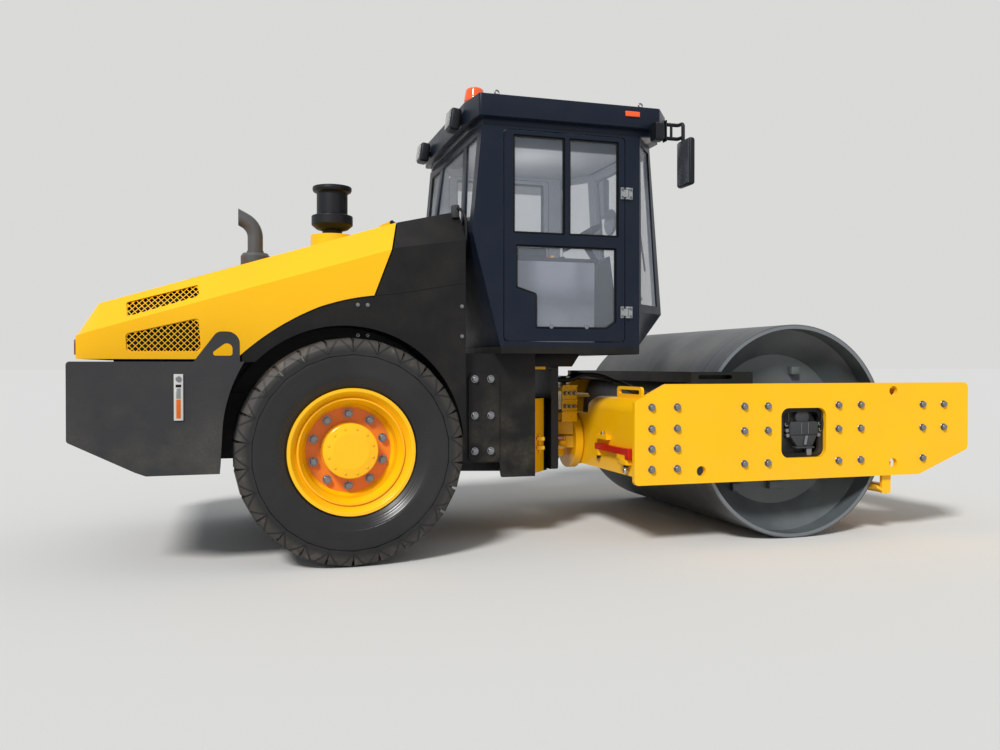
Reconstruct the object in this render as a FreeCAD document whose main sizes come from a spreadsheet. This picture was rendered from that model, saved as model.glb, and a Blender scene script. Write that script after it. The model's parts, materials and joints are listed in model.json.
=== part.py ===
import FreeCAD, Part
import math
import os
import re
from types import SimpleNamespace

from FreeCAD import Placement, Rotation, Vector

# A single-drum road roller, in millimetres.
# +X is forward, towards the drum, +Y is the machine's left, +Z is up.
# The origin is on the ground, in the middle of the machine's length and width.

SIZES = (
    # name, size, what it is
    ("rear_overhang", 1593, "rear axle to the counterweight's back"),
    ("front_overhang", 1446, "drum axle to the front of the side plates"),
    ("tyre_diameter", 1400, "over the tread"),
    ("tyre_width", 600, "over the sidewalls"),
    ("tyre_track", 1670, "between the middles of the two tyres"),
    ("rim_seat", 750, "diameter that the tyre sits on"),
    ("rim_flange", 780, "diameter of the rim's lip"),
    ("rim_wall", 16, "thickness of the rim's barrel"),
    ("stud_circle", 454, "diameter of the circle of wheel nuts"),
    ("hub_diameter", 343, "planetary hub cap"),
    ("hub_reach", 190, "hub cap's face, outwards from the tyre's middle"),
    ("axle_tube", 220, "diameter of the rear axle's tube"),
    ("spindle", 120, "diameter of the wheel spindles"),
    ("drum_diameter", 1520, "over the shell"),
    ("drum_width", 2130, "length of the shell"),
    ("drum_wall", 30, "thickness of the shell"),
    ("drum_recess", 265, "depth of the drum head's flat disc"),
    ("drum_disc", 1100, "diameter of the drum head's flat disc"),
    ("drum_gap", 49, "from the shell's end to the side plate"),
    ("journal", 160, "diameter of the drum's journals"),
    ("plate_wall", 36, "thickness of the front frame's side plates"),
    ("plate_top", 1103, "height of the side plates' top edge"),
    ("plate_bottom", 430, "height of the side plates' bottom edge"),
    ("tie_down", 70, "diameter of the tie-down holes"),
    ("pivot_ahead", 1700, "rear axle to the steering pivot"),
    ("plates_ahead", 149, "steering pivot to the side plates' rear edge"),
    ("beam_inset", 26, "side plates' rear edge to the rear cross-beam"),
    ("beam_reach", 260, "how far the rear cross-beam's flanges reach forward"),
    ("drum_clear", 245, "from those flanges to the drum"),
    ("pivot_pin", 90, "diameter of the steering pivot's pin"),
    ("pivot_height", 700, "height of the steering pivot's middle"),
    ("roll_height", 650, "height of the oscillation axis"),
    ("roll_shaft", 180, "diameter of the oscillation shaft"),
    ("fit", 0.05, "radial clearance of pins and shafts"),
    ("running_gap", 8, "between pieces that turn past each other"),
    ("weight_half", 1050, "half the counterweight's width"),
    ("weight_top", 1250, "height of the counterweight's top"),
    ("weight_bottom", 590, "height of the counterweight's bottom"),
    ("arch_gap", 85, "from the tread to the wheel arches"),
    ("hood_half", 750, "half the hood's width"),
    ("hood_lean", 200, "how far the hood's upper facets lean inwards"),
    ("hood_wall", 20, "thickness of the hood's panels"),
    ("rail_half", 440, "half the width over the rear frame's rails"),
    ("rail_wall", 40, "thickness of the rails"),
    ("saddle_half", 640, "half the width of the frame below the cab"),
    ("cab_half", 800, "half the cab's width"),
    ("cab_floor", 1310, "height of the cab's underside"),
    ("cab_eave", 2840, "height of the cab's walls"),
    ("cab_wall", 40, "thickness of the cab's walls and doors"),
    ("glass", 8, "thickness of the panes"),
    ("roof_top", 3030, "height of the roof"),
    ("roof_half", 850, "half the roof's width"),
    ("door_gap", 6, "between the door and its frame"),
    ("belt", 2084, "height of the doors' middle rail"),
    ("seat_gap", 0.3, "between pieces that rest on each other"),
    ("mesh_pitch", 37, "between the openings of the hood's mesh"),
    ("mesh_bar", 4.5, "width of the mesh's bars"),
)

d = SimpleNamespace(**{name: size for name, size, _ in SIZES})

doc = FreeCAD.newDocument("RoadRoller")
sheet = doc.addObject("Spreadsheet::Sheet", "Sizes")
for row, (name, size, meaning) in enumerate(SIZES, start=1):
    sheet.set("A%d" % row, str(size))
    sheet.setAlias("A%d" % row, name)
    sheet.set("B%d" % row, meaning)
doc.recompute()

# Places along the machine, from the driving sizes.
to_beam = d.pivot_ahead + d.plates_ahead + d.beam_inset
wheelbase = to_beam + d.beam_reach + d.drum_clear + d.drum_diameter / 2
rear_x = -(d.rear_overhang + wheelbase + d.front_overhang) / 2
axle_x = rear_x + d.rear_overhang
drum_x = axle_x + wheelbase
front_x = drum_x + d.front_overhang
pivot_x = axle_x + d.pivot_ahead
axle_z = d.tyre_diameter / 2
drum_z = d.drum_diameter / 2
plate_in = d.drum_width / 2 + d.drum_gap
plate_out = plate_in + d.plate_wall

SIDES = (("right", -1), ("left", 1))


def bound(text):
    """A formula in the sheet's names, as the document writes it."""
    return re.sub(r"[a-z_]{3,}", lambda word: "Sizes." + word.group(0), text)


def put(thing, size_name, value):
    """Sets a size from a number, or binds it to a formula in the sheet's names."""
    if isinstance(value, str):
        thing.setExpression(size_name, bound(value))
    else:
        setattr(thing, size_name, value)


def circle(across, up, radius):
    """A round loop of a sketch."""
    return ("circle", across, up, radius)


def rectangle(low, high, corner=0):
    """A loop between two corners, with its own corners rounded."""
    (left, bottom), (right, top) = low, high
    return [(left, bottom, corner), (right, bottom, corner), (right, top, corner), (left, top, corner)]


def edges_of(loop):
    """Lines and arcs of a loop. A third number rounds a corner, "via" bends a line through a point."""
    if loop[0] == "circle":
        return [Part.Circle(Vector(loop[1], loop[2], 0), Vector(0, 0, 1), loop[3])]
    points = [entry for entry in loop if entry[0] != "via"]
    bends = {}
    for entry in loop:
        if entry[0] == "via":
            bends[seen] = Vector(entry[1], entry[2], 0)
        else:
            seen = points.index(entry)
    corners = []
    for i, point in enumerate(points):
        here = Vector(point[0], point[1], 0)
        radius = point[2] if len(point) > 2 else 0
        if not radius:
            corners.append((here, None, here))
            continue
        before = (Vector(points[i - 1][0], points[i - 1][1], 0) - here).normalize()
        after_point = points[(i + 1) % len(points)]
        after = (Vector(after_point[0], after_point[1], 0) - here).normalize()
        half = before.getAngle(after) / 2
        inwards = (before + after).normalize()
        centre = here + inwards * (radius / math.sin(half))
        reach = radius / math.tan(half)
        corners.append((here + before * reach, centre - inwards * radius, here + after * reach))
    edges = []
    for i, (start, middle, end) in enumerate(corners):
        if middle is not None:
            edges.append(Part.Arc(start, middle, end))
        following = corners[(i + 1) % len(corners)][0]
        if i in bends:
            edges.append(Part.Arc(end, bends[i], following))
        elif end.distanceToPoint(following) > 1e-6:
            edges.append(Part.LineSegment(end, following))
    return edges


PLANES = {"XY": "XY_Plane", "XZ": "XZ_Plane", "YZ": "YZ_Plane"}
pieces = []


class Piece:
    """One sub-part: a body whose features are added and cut in turn."""

    def __init__(self, label, at=(0, 0, 0)):
        self.body = doc.addObject("PartDesign::Body", label)
        self.body.Label = label
        self.body.Placement = Placement(Vector(*at), Rotation())
        self.label = label
        self.count = 0
        pieces.append(self.body)

    def feature(self, kind):
        self.count += 1
        return self.body.newObject(kind, "%s_%s_%d" % (self.label, kind.split("::")[1], self.count))

    def sketch(self, plane, loops, offset=0, lean=0):
        """A sketch on one of the body's planes. Offset is along +X, +Y or +Z, lean about the Y axis."""
        sketch = self.feature("Sketcher::SketchObject")
        origin = [item for item in self.body.Origin.OriginFeatures if item.Role == PLANES[plane]][0]
        sketch.AttachmentSupport = (origin, [""])
        sketch.MapMode = "FlatFace"
        towards = -1 if plane == "XZ" else 1
        leaning = Rotation(Vector(0, 1, 0) if plane == "XY" else Vector(1, 0, 0), lean)
        offset_along = Placement(Vector(0, 0, towards * offset), Rotation())
        sketch.AttachmentOffset = Placement(Vector(), leaning).multiply(offset_along)
        for loop in loops:
            sketch.addGeometry(edges_of(loop), False)
        return sketch

    def pad(self, plane, loops, start, length, lean=0):
        """Adds the loops' area from start, for a length towards +X, +Y or +Z."""
        sketch = self.sketch(plane, loops, start, lean)
        pad = self.feature("PartDesign::Pad")
        pad.Profile = sketch
        put(pad, "Length", length)
        pad.Reversed = plane == "XZ"
        self.body.Tip = pad
        return self

    def cut(self, plane, loops, start, length):
        """Cuts the loops' area from start, for a length towards +X, +Y or +Z."""
        sketch = self.sketch(plane, loops, start)
        pocket = self.feature("PartDesign::Pocket")
        pocket.Profile = sketch
        put(pocket, "Length", length)
        pocket.Reversed = plane != "XZ"
        self.body.Tip = pocket
        return self

    def turn(self, plane, loops, axis="H_Axis", offset=0, angle=360):
        """Adds the loops' area turned about the sketch's level or upright axis."""
        sketch = self.sketch(plane, loops, offset)
        turned = self.feature("PartDesign::Revolution")
        turned.Profile = sketch
        turned.ReferenceAxis = (sketch, [axis])
        turned.Angle = abs(angle)
        turned.Reversed = angle < 0
        self.body.Tip = turned
        return self

    def loft(self, plane, sections, kind="PartDesign::AdditiveLoft"):
        """Adds straight walls between sections, each an offset and a loop."""
        sketches = [self.sketch(plane, [loop], offset) for offset, loop in sections]
        loft = self.feature(kind)
        loft.Profile = sketches[0]
        loft.Sections = sketches[1:]
        loft.Ruled = True
        self.body.Tip = loft
        return self

    def hollow(self, plane, sections):
        """Cuts straight walls between sections."""
        return self.loft(plane, sections, "PartDesign::SubtractiveLoft")

    def around(self, count, pads):
        """Repeats some pads in a full turn about the body's Y axis."""
        pattern = self.feature("PartDesign::PolarPattern")
        pattern.Originals = pads
        pattern.Axis = ([item for item in self.body.Origin.OriginFeatures if item.Role == "Y_Axis"][0], [""])
        pattern.Angle = 360
        pattern.Occurrences = count
        self.body.Tip = pattern
        return self


def inset(loop, depth):
    """A convex, anticlockwise loop with its edges moved inwards."""
    points = []
    for i, (x, y, *corner) in enumerate(loop):
        before = (Vector(x, y, 0) - Vector(*loop[i - 1][:2], 0)).normalize()
        after = (Vector(*loop[(i + 1) % len(loop)][:2], 0) - Vector(x, y, 0)).normalize()
        one, two = Vector(-before.y, before.x, 0), Vector(-after.y, after.x, 0)
        shift = (one + two) * (depth / (1 + one.dot(two)))
        points.append((x + shift.x, y + shift.y, *[max(radius - depth, 0) for radius in corner]))
    return points


def clipped(shape, loop):
    """What lies of a convex shape inside a convex, anticlockwise loop."""
    for i, start in enumerate(loop):
        end = loop[(i + 1) % len(loop)]

        def inside(point):
            return (end[0] - start[0]) * (point[1] - start[1]) - (end[1] - start[1]) * (point[0] - start[0])

        kept = []
        for j, point in enumerate(shape):
            following = shape[(j + 1) % len(shape)]
            here, there = inside(point), inside(following)
            if here >= 0:
                kept.append(point)
            if here * there < 0:
                share = here / (here - there)
                kept.append(tuple(a + share * (b - a) for a, b in zip(point, following)))
        shape = kept
    return shape


def mesh_openings(loop):
    """Diamond openings that fill a loop, cut off along its border."""
    border = inset([tuple(edge.StartPoint)[:2] for edge in edges_of(loop)], d.mesh_bar)
    half = d.mesh_pitch / 2
    reach = half - d.mesh_bar / math.sqrt(2)
    xs, ys = [point[0] for point in loop], [point[1] for point in loop]
    openings = []
    for i in range(int((max(xs) - min(xs)) / half) + 2):
        for j in range(i % 2, int((max(ys) - min(ys)) / half) + 2, 2):
            x, y = min(xs) + i * half, min(ys) + j * half
            diamond = [(x - reach, y), (x, y - reach), (x + reach, y), (x, y + reach)]
            opening = clipped(diamond, border)
            if len(opening) > 2 and area(opening) > reach ** 2 / 4:
                openings.append(opening)
    return openings


def area(shape):
    """The area of a loop of straight lines."""
    return sum(shape[i - 1][0] * y - x * shape[i - 1][1] for i, (x, y) in enumerate(shape)) / 2


def span(side, inner, outer):
    """Where a stretch from inner to outer starts on a side of the machine."""
    return inner if side > 0 else -outer


# Drum: an open-ended shell with a coned head and a flat disc set in at each end.
half_drum = d.drum_width / 2
head_wall = 30
cone_depth = 120
disc_y = half_drum - d.drum_recess
cone_y = disc_y + cone_depth
shell_in = d.drum_diameter / 2 - d.drum_wall
boss_radius = 150
journal_depth = 60
drum_half = [
    (half_drum, d.drum_diameter / 2),
    (half_drum, shell_in),
    (cone_y, shell_in),
    (disc_y, d.drum_disc / 2),
    (disc_y, boss_radius),
    (disc_y + journal_depth, boss_radius),
    (disc_y + journal_depth, d.journal / 2 + d.fit),
    (disc_y, d.journal / 2 + d.fit),
    (disc_y - journal_depth, d.journal / 2 + d.fit),
]
inner_half = [
    (disc_y - journal_depth, boss_radius),
    (disc_y - head_wall, boss_radius),
    (disc_y - head_wall, d.drum_disc / 2),
    (cone_y - head_wall, shell_in),
]
drum_outline = drum_half + inner_half
drum_outline += [(-y, r) for y, r in reversed(inner_half)]
drum_outline += [(-y, r) for y, r in reversed(drum_half)]
drum = Piece("drum", (drum_x, 0, drum_z))
drum.turn("YZ", [drum_outline])

# Side plates of the front frame, each with its window and three tie-down holes.
plate_rear = pivot_x + d.plates_ahead
plate_profile = [
    (plate_rear, d.plate_bottom, 30),
    (front_x - 446, d.plate_bottom, 60),
    (front_x, d.plate_bottom + 177, 40),
    (front_x, d.plate_top, 40),
    (plate_rear + 231, d.plate_top, 60),
    (plate_rear, d.plate_top - 116, 20),
]
window = rectangle((drum_x - 170, 580), (drum_x + 197, 930), 60)
tie_downs = [
    circle(drum_x - 796, d.plate_bottom + 82, d.tie_down / 2),
    circle(drum_x + 771, d.plate_top - 58, d.tie_down / 2),
    circle(drum_x + 771, d.plate_bottom + 88, d.tie_down / 2),
]
plates = Piece("side_plates")
for side_name, side in SIDES:
    plates.pad("XZ", [plate_profile, window] + tie_downs, span(side, plate_in, plate_out), "plate_wall")

# Rear cross-beam of the front frame: a bent plate with the oscillation bearing.
beam_rear = plate_rear + d.beam_inset
beam_wall = 30
beam_top = 1000
beam_bottom = 480
bearing_radius = 190
bearing_length = 150
bend = 90
rear_beam = Piece("rear_crossbeam")
rear_beam.pad(
    "XZ",
    [[
        (beam_rear, beam_bottom),
        (beam_rear + d.beam_reach, beam_bottom),
        (beam_rear + d.beam_reach, beam_bottom + beam_wall),
        (beam_rear + beam_wall, beam_bottom + beam_wall),
        (beam_rear + beam_wall, beam_top - beam_wall, bend - beam_wall),
        (beam_rear + d.beam_reach, beam_top - beam_wall),
        (beam_rear + d.beam_reach, beam_top),
        (beam_rear, beam_top, bend),
    ]],
    -plate_in,
    2 * plate_in,
)
# Its top is cut down in the middle, above the bearing.
middle = 290
middle_low = d.roll_height + bearing_radius + 30
shoulder = 70
bow = shoulder * (1 - math.sqrt(0.5))
rear_beam.cut(
    "YZ",
    [[
        (-middle - shoulder, beam_top + 10),
        (-middle - shoulder, beam_top),
        ("via", -middle - bow, beam_top - bow),
        (-middle, beam_top - shoulder),
        (-middle, middle_low, 40),
        (middle, middle_low, 40),
        (middle, beam_top - shoulder),
        ("via", middle + bow, beam_top - bow),
        (middle + shoulder, beam_top),
        (middle + shoulder, beam_top + 10),
    ]],
    beam_rear - 10,
    d.beam_reach + 20,
)
rib_wall = 20
rib = rectangle(
    (beam_rear + beam_wall - 1, beam_bottom + beam_wall - 1),
    (beam_rear + d.beam_reach - 20, beam_top - beam_wall + 1),
)
for rib_y in (400, 760):
    for side_name, side in SIDES:
        rear_beam.pad("XZ", [rib], span(side, rib_y, rib_y + rib_wall), rib_wall)
# A guide for the hoses stands on it, and lugs behind it hold the lock bar.
guide = [
    rectangle((-1000, beam_top - 5), (-600, beam_top + 80), 30),
    rectangle((-965, beam_top + 28), (-635, beam_top + 58), 14),
]
rear_beam.pad("YZ", guide, beam_rear + bend + 5, 20)
lock_z = 620
bar_wall = 30
bar_gap = 3
for lug_low, lug_high in (((-1030, lock_z - 30), (-880, lock_z)), ((-550, lock_z - 43), (-490, lock_z)),
                          ((-700, lock_z + 80), (-500, lock_z + 110))):
    rear_beam.pad("YZ", [rectangle(lug_low, lug_high)], beam_rear - bar_wall - bar_gap, bar_wall + bar_gap + 2)
lock_bar = Piece("lock_bar")
bar_low = lock_z + d.seat_gap
lock_bar.pad("YZ", [rectangle((-1050, bar_low), (-490, bar_low + 45), 6)], beam_rear - bar_wall - bar_gap, bar_wall)
lock_bar.pad("YZ", [rectangle((-1085, bar_low - 24), (-1034, bar_low + 50), 8)], beam_rear - 45, 45 - bar_gap)
rear_beam.pad("YZ", [circle(0, d.roll_height, bearing_radius)], beam_rear, bearing_length)
rear_beam.cut("YZ", [circle(0, d.roll_height, d.roll_shaft / 2 + d.fit)], beam_rear - 10, bearing_length + 20)

# Front cross-beam: a channel between the plates, ahead of the drum.
front_beam = Piece("front_crossbeam")
nose_x = front_x - 60
front_beam.pad(
    "XZ",
    [[
        (nose_x - 260, 640),
        (nose_x, 640, 60),
        (nose_x, 1080, 60),
        (nose_x - 260, 1080),
        (nose_x - 260, 1080 - beam_wall),
        (nose_x - beam_wall, 1080 - beam_wall, 30),
        (nose_x - beam_wall, 640 + beam_wall, 30),
        (nose_x - 260, 640 + beam_wall),
    ]],
    -plate_in,
    2 * plate_in,
)

# Drum carriers: bracket on the side plate, motor housing and journal in the drum's head.
carrier_wall = 24
motor_radius = 170
carrier = Piece("drum_carriers", (drum_x, 0, drum_z))
for side_name, side in SIDES:
    bracket_in = plate_in - carrier_wall
    bracket = rectangle((-330, -230), (330, 190), 40)
    hole = rectangle((-130, -150), (160, 140), 40)
    carrier.pad("XZ", [bracket, hole], span(side, bracket_in, plate_in), carrier_wall)
    mount_y = disc_y + journal_depth + d.running_gap
    arm = rectangle((-310, -215), (310, 175), 60)
    carrier.pad("XZ", [arm], span(side, mount_y, mount_y + carrier_wall), carrier_wall)
    for buffer_x in (-240, 240):
        for buffer_z in (-150, 110):
            carrier.pad(
                "XZ",
                [circle(buffer_x, buffer_z, 50)],
                span(side, mount_y + carrier_wall, bracket_in),
                bracket_in - mount_y - carrier_wall,
            )
    carrier.pad(
        "XZ",
        [circle(0, 0, motor_radius)],
        span(side, mount_y + carrier_wall, bracket_in - 10),
        bracket_in - 10 - mount_y - carrier_wall,
    )
    journal_in = disc_y - journal_depth + 20
    carrier.pad("XZ", [circle(0, 0, d.journal / 2)], span(side, journal_in, mount_y), mount_y - journal_in)

# Scrapers: a bar with a blade that ends just off the drum, low in front and high behind.
scraper_r = d.drum_diameter / 2 + d.running_gap
low_z = -400
low_x = math.sqrt(scraper_r ** 2 - low_z ** 2)
front_scraper = Piece("scraper_front", (drum_x, 0, drum_z))
front_scraper.pad(
    "XZ",
    [[(low_x, low_z), (low_x + 4, low_z - 25), (low_x + 95, low_z - 70), (low_x + 100, low_z - 55)]],
    -plate_in,
    2 * plate_in,
)
front_scraper.pad("XZ", [rectangle((low_x + 60, low_z - 60), (low_x + 120, low_z))], -plate_in, 2 * plate_in)
for side_name, side in SIDES:
    hanger = rectangle((low_x + 50, low_z - 65), (low_x + 125, low_z + 170), 10)
    front_scraper.pad("XZ", [hanger], span(side, plate_in - 24, plate_in), 24)
rear_scraper = Piece("scraper_rear", (drum_x, 0, drum_z))
high_z = 405
high_x = -math.sqrt(scraper_r ** 2 - high_z ** 2)
bracket_in = half_drum + 15
bracket_base = d.plate_top - drum_z
rear_scraper.pad(
    "XZ",
    [[(high_x, high_z), (high_x - 130, high_z + 19), (high_x - 130, high_z + 3), (high_x - 14, high_z - 12)]],
    -bracket_in,
    2 * bracket_in,
)
rear_scraper.pad(
    "XZ",
    [rectangle((high_x - 170, bracket_base + 7), (high_x - 100, high_z + 20))],
    -bracket_in - 10,
    2 * bracket_in + 20,
)
for side_name, side in SIDES:
    bracket = rectangle((high_x - 220, bracket_base), (high_x + 252, bracket_base + 82))
    rear_scraper.pad("XZ", [bracket], span(side, bracket_in, plate_out), plate_out - bracket_in)
    slot = rectangle((high_x - 168, bracket_base + 32), (high_x + 92, bracket_base + 60), 13)
    rear_scraper.cut("XZ", [slot], span(side, bracket_in + 11, plate_out + 10), plate_out - bracket_in)

# Hitch: a yoke on the steering pin that carries the oscillation shaft.
yoke_half = 150
eye_radius = 105
arm_gap = 10
flange_radius = 215
flange_front = beam_rear - d.running_gap
flange_rear = flange_front - 60
hitch = Piece("hitch_yoke")
for arm_low, arm_high in ((600, d.pivot_height - arm_gap), (d.pivot_height, 800)):
    arm_loop = [
        (pivot_x, -eye_radius),
        (flange_rear, -yoke_half),
        (flange_rear, yoke_half),
        (pivot_x, eye_radius),
        ("via", pivot_x - eye_radius, 0),
    ]
    hitch.pad("XY", [arm_loop], arm_low, arm_high - arm_low)
hitch.pad("YZ", [circle(0, d.roll_height, flange_radius)], flange_rear, flange_front - flange_rear)
hitch.pad(
    "YZ",
    [circle(0, d.roll_height, d.roll_shaft / 2)],
    flange_front,
    bearing_length + d.running_gap,
)
hitch.cut("XY", [circle(pivot_x, 0, d.pivot_pin / 2 + d.fit)], 590, 220)
# Steering arms: a lug on each side that the steering rods pull on.
steer_arm = 215
lug_half = 30
lug_wall = 30
for side_name, side in SIDES:
    lug = [
        (pivot_x - lug_half, side * 80),
        (pivot_x + lug_half, side * 80),
        (pivot_x + lug_half, side * steer_arm, 22),
        (pivot_x - lug_half, side * steer_arm, 22),
    ]
    hitch.pad("XY", [lug], 630, lug_wall)

# Front of the rear frame: neck plates, end plate and the two lugs of the pivot.
neck_front = pivot_x - 115
neck_rear = axle_x + 1330
end_wall = 55
end_half = 420
neck = Piece("frame_neck")
neck.pad("YZ", [rectangle((-end_half, 470), (end_half, 1240), 30)], neck_front - end_wall, end_wall)
for side_name, side in SIDES:
    cheek = [
        (neck_rear, side * 560),
        (neck_front - end_wall, side * 330),
        (neck_front - end_wall, side * 300),
        (neck_rear, side * 530),
    ]
    neck.pad("XY", [cheek], 460, 530)
lug_radius = eye_radius - 10
for lug_low, lug_high in ((535, 592), (808, 865)):
    lug_loop = [
        (neck_front, -160),
        (pivot_x, -lug_radius),
        ("via", pivot_x + lug_radius, 0),
        (pivot_x, lug_radius),
        (neck_front, 160),
    ]
    neck.pad("XY", [lug_loop], lug_low, lug_high - lug_low)
neck.cut("XY", [circle(pivot_x, 0, d.pivot_pin / 2)], 500, 400)
for side_name, side in SIDES:
    slot = rectangle((min(side * 110, side * 250), 585), (max(side * 110, side * 250), 705), 20)
    neck.cut("YZ", [slot], neck_front - end_wall - 10, end_wall + 20)
neck.pad("XY", [rectangle((neck_rear, -end_half), (neck_front - end_wall, end_half))], 1200, 40)
# A lug on the right cheek takes the lock bar's other end.
for lug_low in (625, 690):
    neck.pad("XY", [rectangle((axle_x + 1395, -500), (axle_x + 1450, -425))], lug_low, 25)
neck.pad("XY", [circle(axle_x + 1422, -470, 12)], 600, 130)
pin = Piece("pivot_pin")
pin.pad("XY", [circle(pivot_x, 0, d.pivot_pin / 2)], 505, 390)
pin.pad("XY", [circle(pivot_x, 0, 65)], 865, 25)

# Rear frame: two rails, the saddle below the cab and its cross members.
rail_in = d.rail_half - d.rail_wall
rail_rear = rear_x + 380
saddle_rear = axle_x + 800
rail_loop = [
    (rail_rear, 620),
    (axle_x - 350, 620),
    (axle_x - 250, 520),
    (neck_rear - 40, 470),
    (neck_rear - 40, 1000),
    (axle_x + 500, 1050),
    (rail_rear, 1050),
]
rails = Piece("frame_rails")
for side_name, side in SIDES:
    rails.pad(
        "XZ",
        [rail_loop, circle(axle_x, axle_z, d.axle_tube / 2)],
        span(side, rail_in, d.rail_half),
        "rail_wall",
    )
saddle = Piece("cab_saddle")
saddle_wall = 40
saddle_loop = [
    (saddle_rear, 560, 30),
    (saddle_rear + 270, 560),
    (saddle_rear + 290, 455),
    (neck_rear, 455),
    (neck_rear, d.cab_floor),
    (saddle_rear, d.cab_floor),
]
for side_name, side in SIDES:
    saddle.pad("XZ", [saddle_loop], span(side, d.saddle_half - saddle_wall, d.saddle_half), saddle_wall)
saddle.pad(
    "YZ",
    [rectangle((-d.saddle_half, 1010), (d.saddle_half, d.cab_floor))],
    neck_rear - saddle_wall,
    saddle_wall,
)
saddle.pad(
    "YZ",
    [rectangle((-d.saddle_half, 1060), (d.saddle_half, d.cab_floor))],
    saddle_rear,
    saddle_wall,
)
for side_name, side in SIDES:
    saddle.pad(
        "YZ",
        [rectangle((min(side * d.rail_half, side * 610), 470), (max(side * d.rail_half, side * 610), 1011))],
        neck_rear - saddle_wall,
        saddle_wall,
    )
    bolt_plate = rectangle((saddle_rear + 45, 570), (saddle_rear + 265, 1175), 40)
    saddle.pad("XZ", [bolt_plate], span(side, d.saddle_half, d.saddle_half + 16), 16)

# Rear axle: tube, brake housings and spindles, with the drive's bulge in the middle.
disc_face = 60
disc_wall = 22
hub_back = disc_face - disc_wall - 20
housing_end = d.tyre_track / 2 + hub_back - d.running_gap
spindle_end = housing_end + 60
axle_half = [
    (spindle_end, 0),
    (spindle_end, d.spindle / 2),
    (housing_end, d.spindle / 2),
    (housing_end, 190, 20),
    (housing_end - 190, 190, 30),
    (housing_end - 240, d.axle_tube / 2),
    (230, d.axle_tube / 2),
    (120, 215, 60),
]
axle_outline = axle_half + [(-y, r, *rest) for y, r, *rest in reversed(axle_half)]
axle = Piece("rear_axle", (axle_x, 0, axle_z))
axle.turn("YZ", [axle_outline])

# Wheels: tyre, dished rim and hub cap, on each side.
wheel_y = d.tyre_track / 2
tyre_r = d.tyre_diameter / 2
seat_r = d.rim_seat / 2
half_w = d.tyre_width / 2
lip_r = d.rim_flange / 2
bead = 240
tread = 16
block_pitches = 26
tyre_profile = [
    (-bead, seat_r),
    (-bead, lip_r),
    (-half_w, seat_r + 90, 70),
    (-half_w, tyre_r - 120, 60),
    (-half_w + 35, tyre_r - 20 - tread, 30),
    (-half_w + 160, tyre_r - tread),
    (half_w - 160, tyre_r - tread),
    (half_w - 35, tyre_r - 20 - tread, 30),
    (half_w, tyre_r - 120, 60),
    (half_w, seat_r + 90, 70),
    (bead, lip_r),
    (bead, seat_r),
]
# Tread: a row of diamonds in the middle and a row of pointed blocks on each shoulder.
block_pitch = 2 * math.pi * tyre_r / block_pitches
half_block = block_pitch / 2 - 11
diamond_half = half_w - 170
point_at = 22
block_root = tyre_r - tread - 20
block_top = math.sqrt(tyre_r ** 2 - half_block ** 2)
diamond_row = [[(half_block, 0), (0, diamond_half), (-half_block, 0), (0, -diamond_half)]]
shoulder_block = [
    (point_at + diamond_half, block_root),
    (point_at + diamond_half, block_top),
    (half_w - 35, tyre_r - 12),
    (half_w - 8, tyre_r - 50),
    (half_w + 1, tyre_r - 108),
    (half_w - 16, tyre_r - 116),
    (half_w - 50, tyre_r - 70),
]
gutter_r = seat_r - 42
ring_r = seat_r - 56
dish_r = seat_r - 88
hub_r = d.hub_diameter / 2
pilot_r = 150
rim_profile = [
    (-bead - 15, lip_r),
    (-bead, lip_r),
    (-bead, seat_r),
    (bead, seat_r),
    (bead, lip_r),
    (bead + 15, lip_r),
    (bead + 15, seat_r - d.rim_wall + 10, 8),
    (bead - 22, seat_r - d.rim_wall - 12),
    (bead - 34, gutter_r),
    (bead - 20, gutter_r - 4),
    (bead - 20, ring_r),
    (165, dish_r + 6),
    (disc_face + 20, dish_r, 8),
    (disc_face, dish_r - 20),
    (disc_face, pilot_r),
    (disc_face - disc_wall, pilot_r),
    (disc_face - disc_wall, dish_r + 30),
    (disc_face - 90, seat_r - d.rim_wall),
    (-bead - 15, seat_r - d.rim_wall),
]
hub_profile = [
    (hub_back, d.spindle / 2 + d.fit),
    (hub_back, 255),
    (disc_face - disc_wall, 255),
    (disc_face - disc_wall, pilot_r),
    (disc_face, pilot_r),
    (disc_face, hub_r),
    (d.hub_reach - 12, hub_r, 10),
    (d.hub_reach, 110),
    (d.hub_reach, 0),
    (hub_back + 80, 0),
    (hub_back + 80, d.spindle / 2 + d.fit),
]
studs = 10
stud_reach = 26
stud_r = d.stud_circle / 2
stud_turns = [math.pi * (2 * i + 1) / studs for i in range(studs)]
half_pitch = 180 / block_pitches
for side_name, side in SIDES:
    place = (axle_x, side * wheel_y, axle_z)
    tyre = Piece("tyre_" + side_name, place)
    if side > 0:
        tyre.body.BaseFeature = right_tyre.body
    else:
        right_tyre = tyre.turn("YZ", [tyre_profile])
        blocks = [tyre.pad("XY", diamond_row, block_root, block_top - block_root).body.Tip]
        for edge in (-1, 1):
            outline = [(edge * y, z) for y, z in shoulder_block]
            blocks.append(tyre.pad("YZ", [outline], -half_block, 2 * half_block, half_pitch).body.Tip)
            base_y = edge * (point_at + diamond_half + 1)
            point = [(half_block, base_y), (-half_block, base_y), (0, edge * point_at)]
            blocks.append(tyre.pad("XY", [point], block_root, block_top - block_root, half_pitch).body.Tip)
        tyre.around(block_pitches, blocks)
    rim = Piece("rim_" + side_name, place).turn("YZ", [[(side * o, *rest) for o, *rest in rim_profile]])
    nuts = [circle(stud_r * math.cos(turn), stud_r * math.sin(turn), 15) for turn in stud_turns]
    rim.pad("XZ", nuts, span(side, disc_face - 2, disc_face + stud_reach), stud_reach + 2)
    Piece("hub_" + side_name, place).turn("YZ", [[(side * o, *rest) for o, *rest in hub_profile]])

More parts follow.
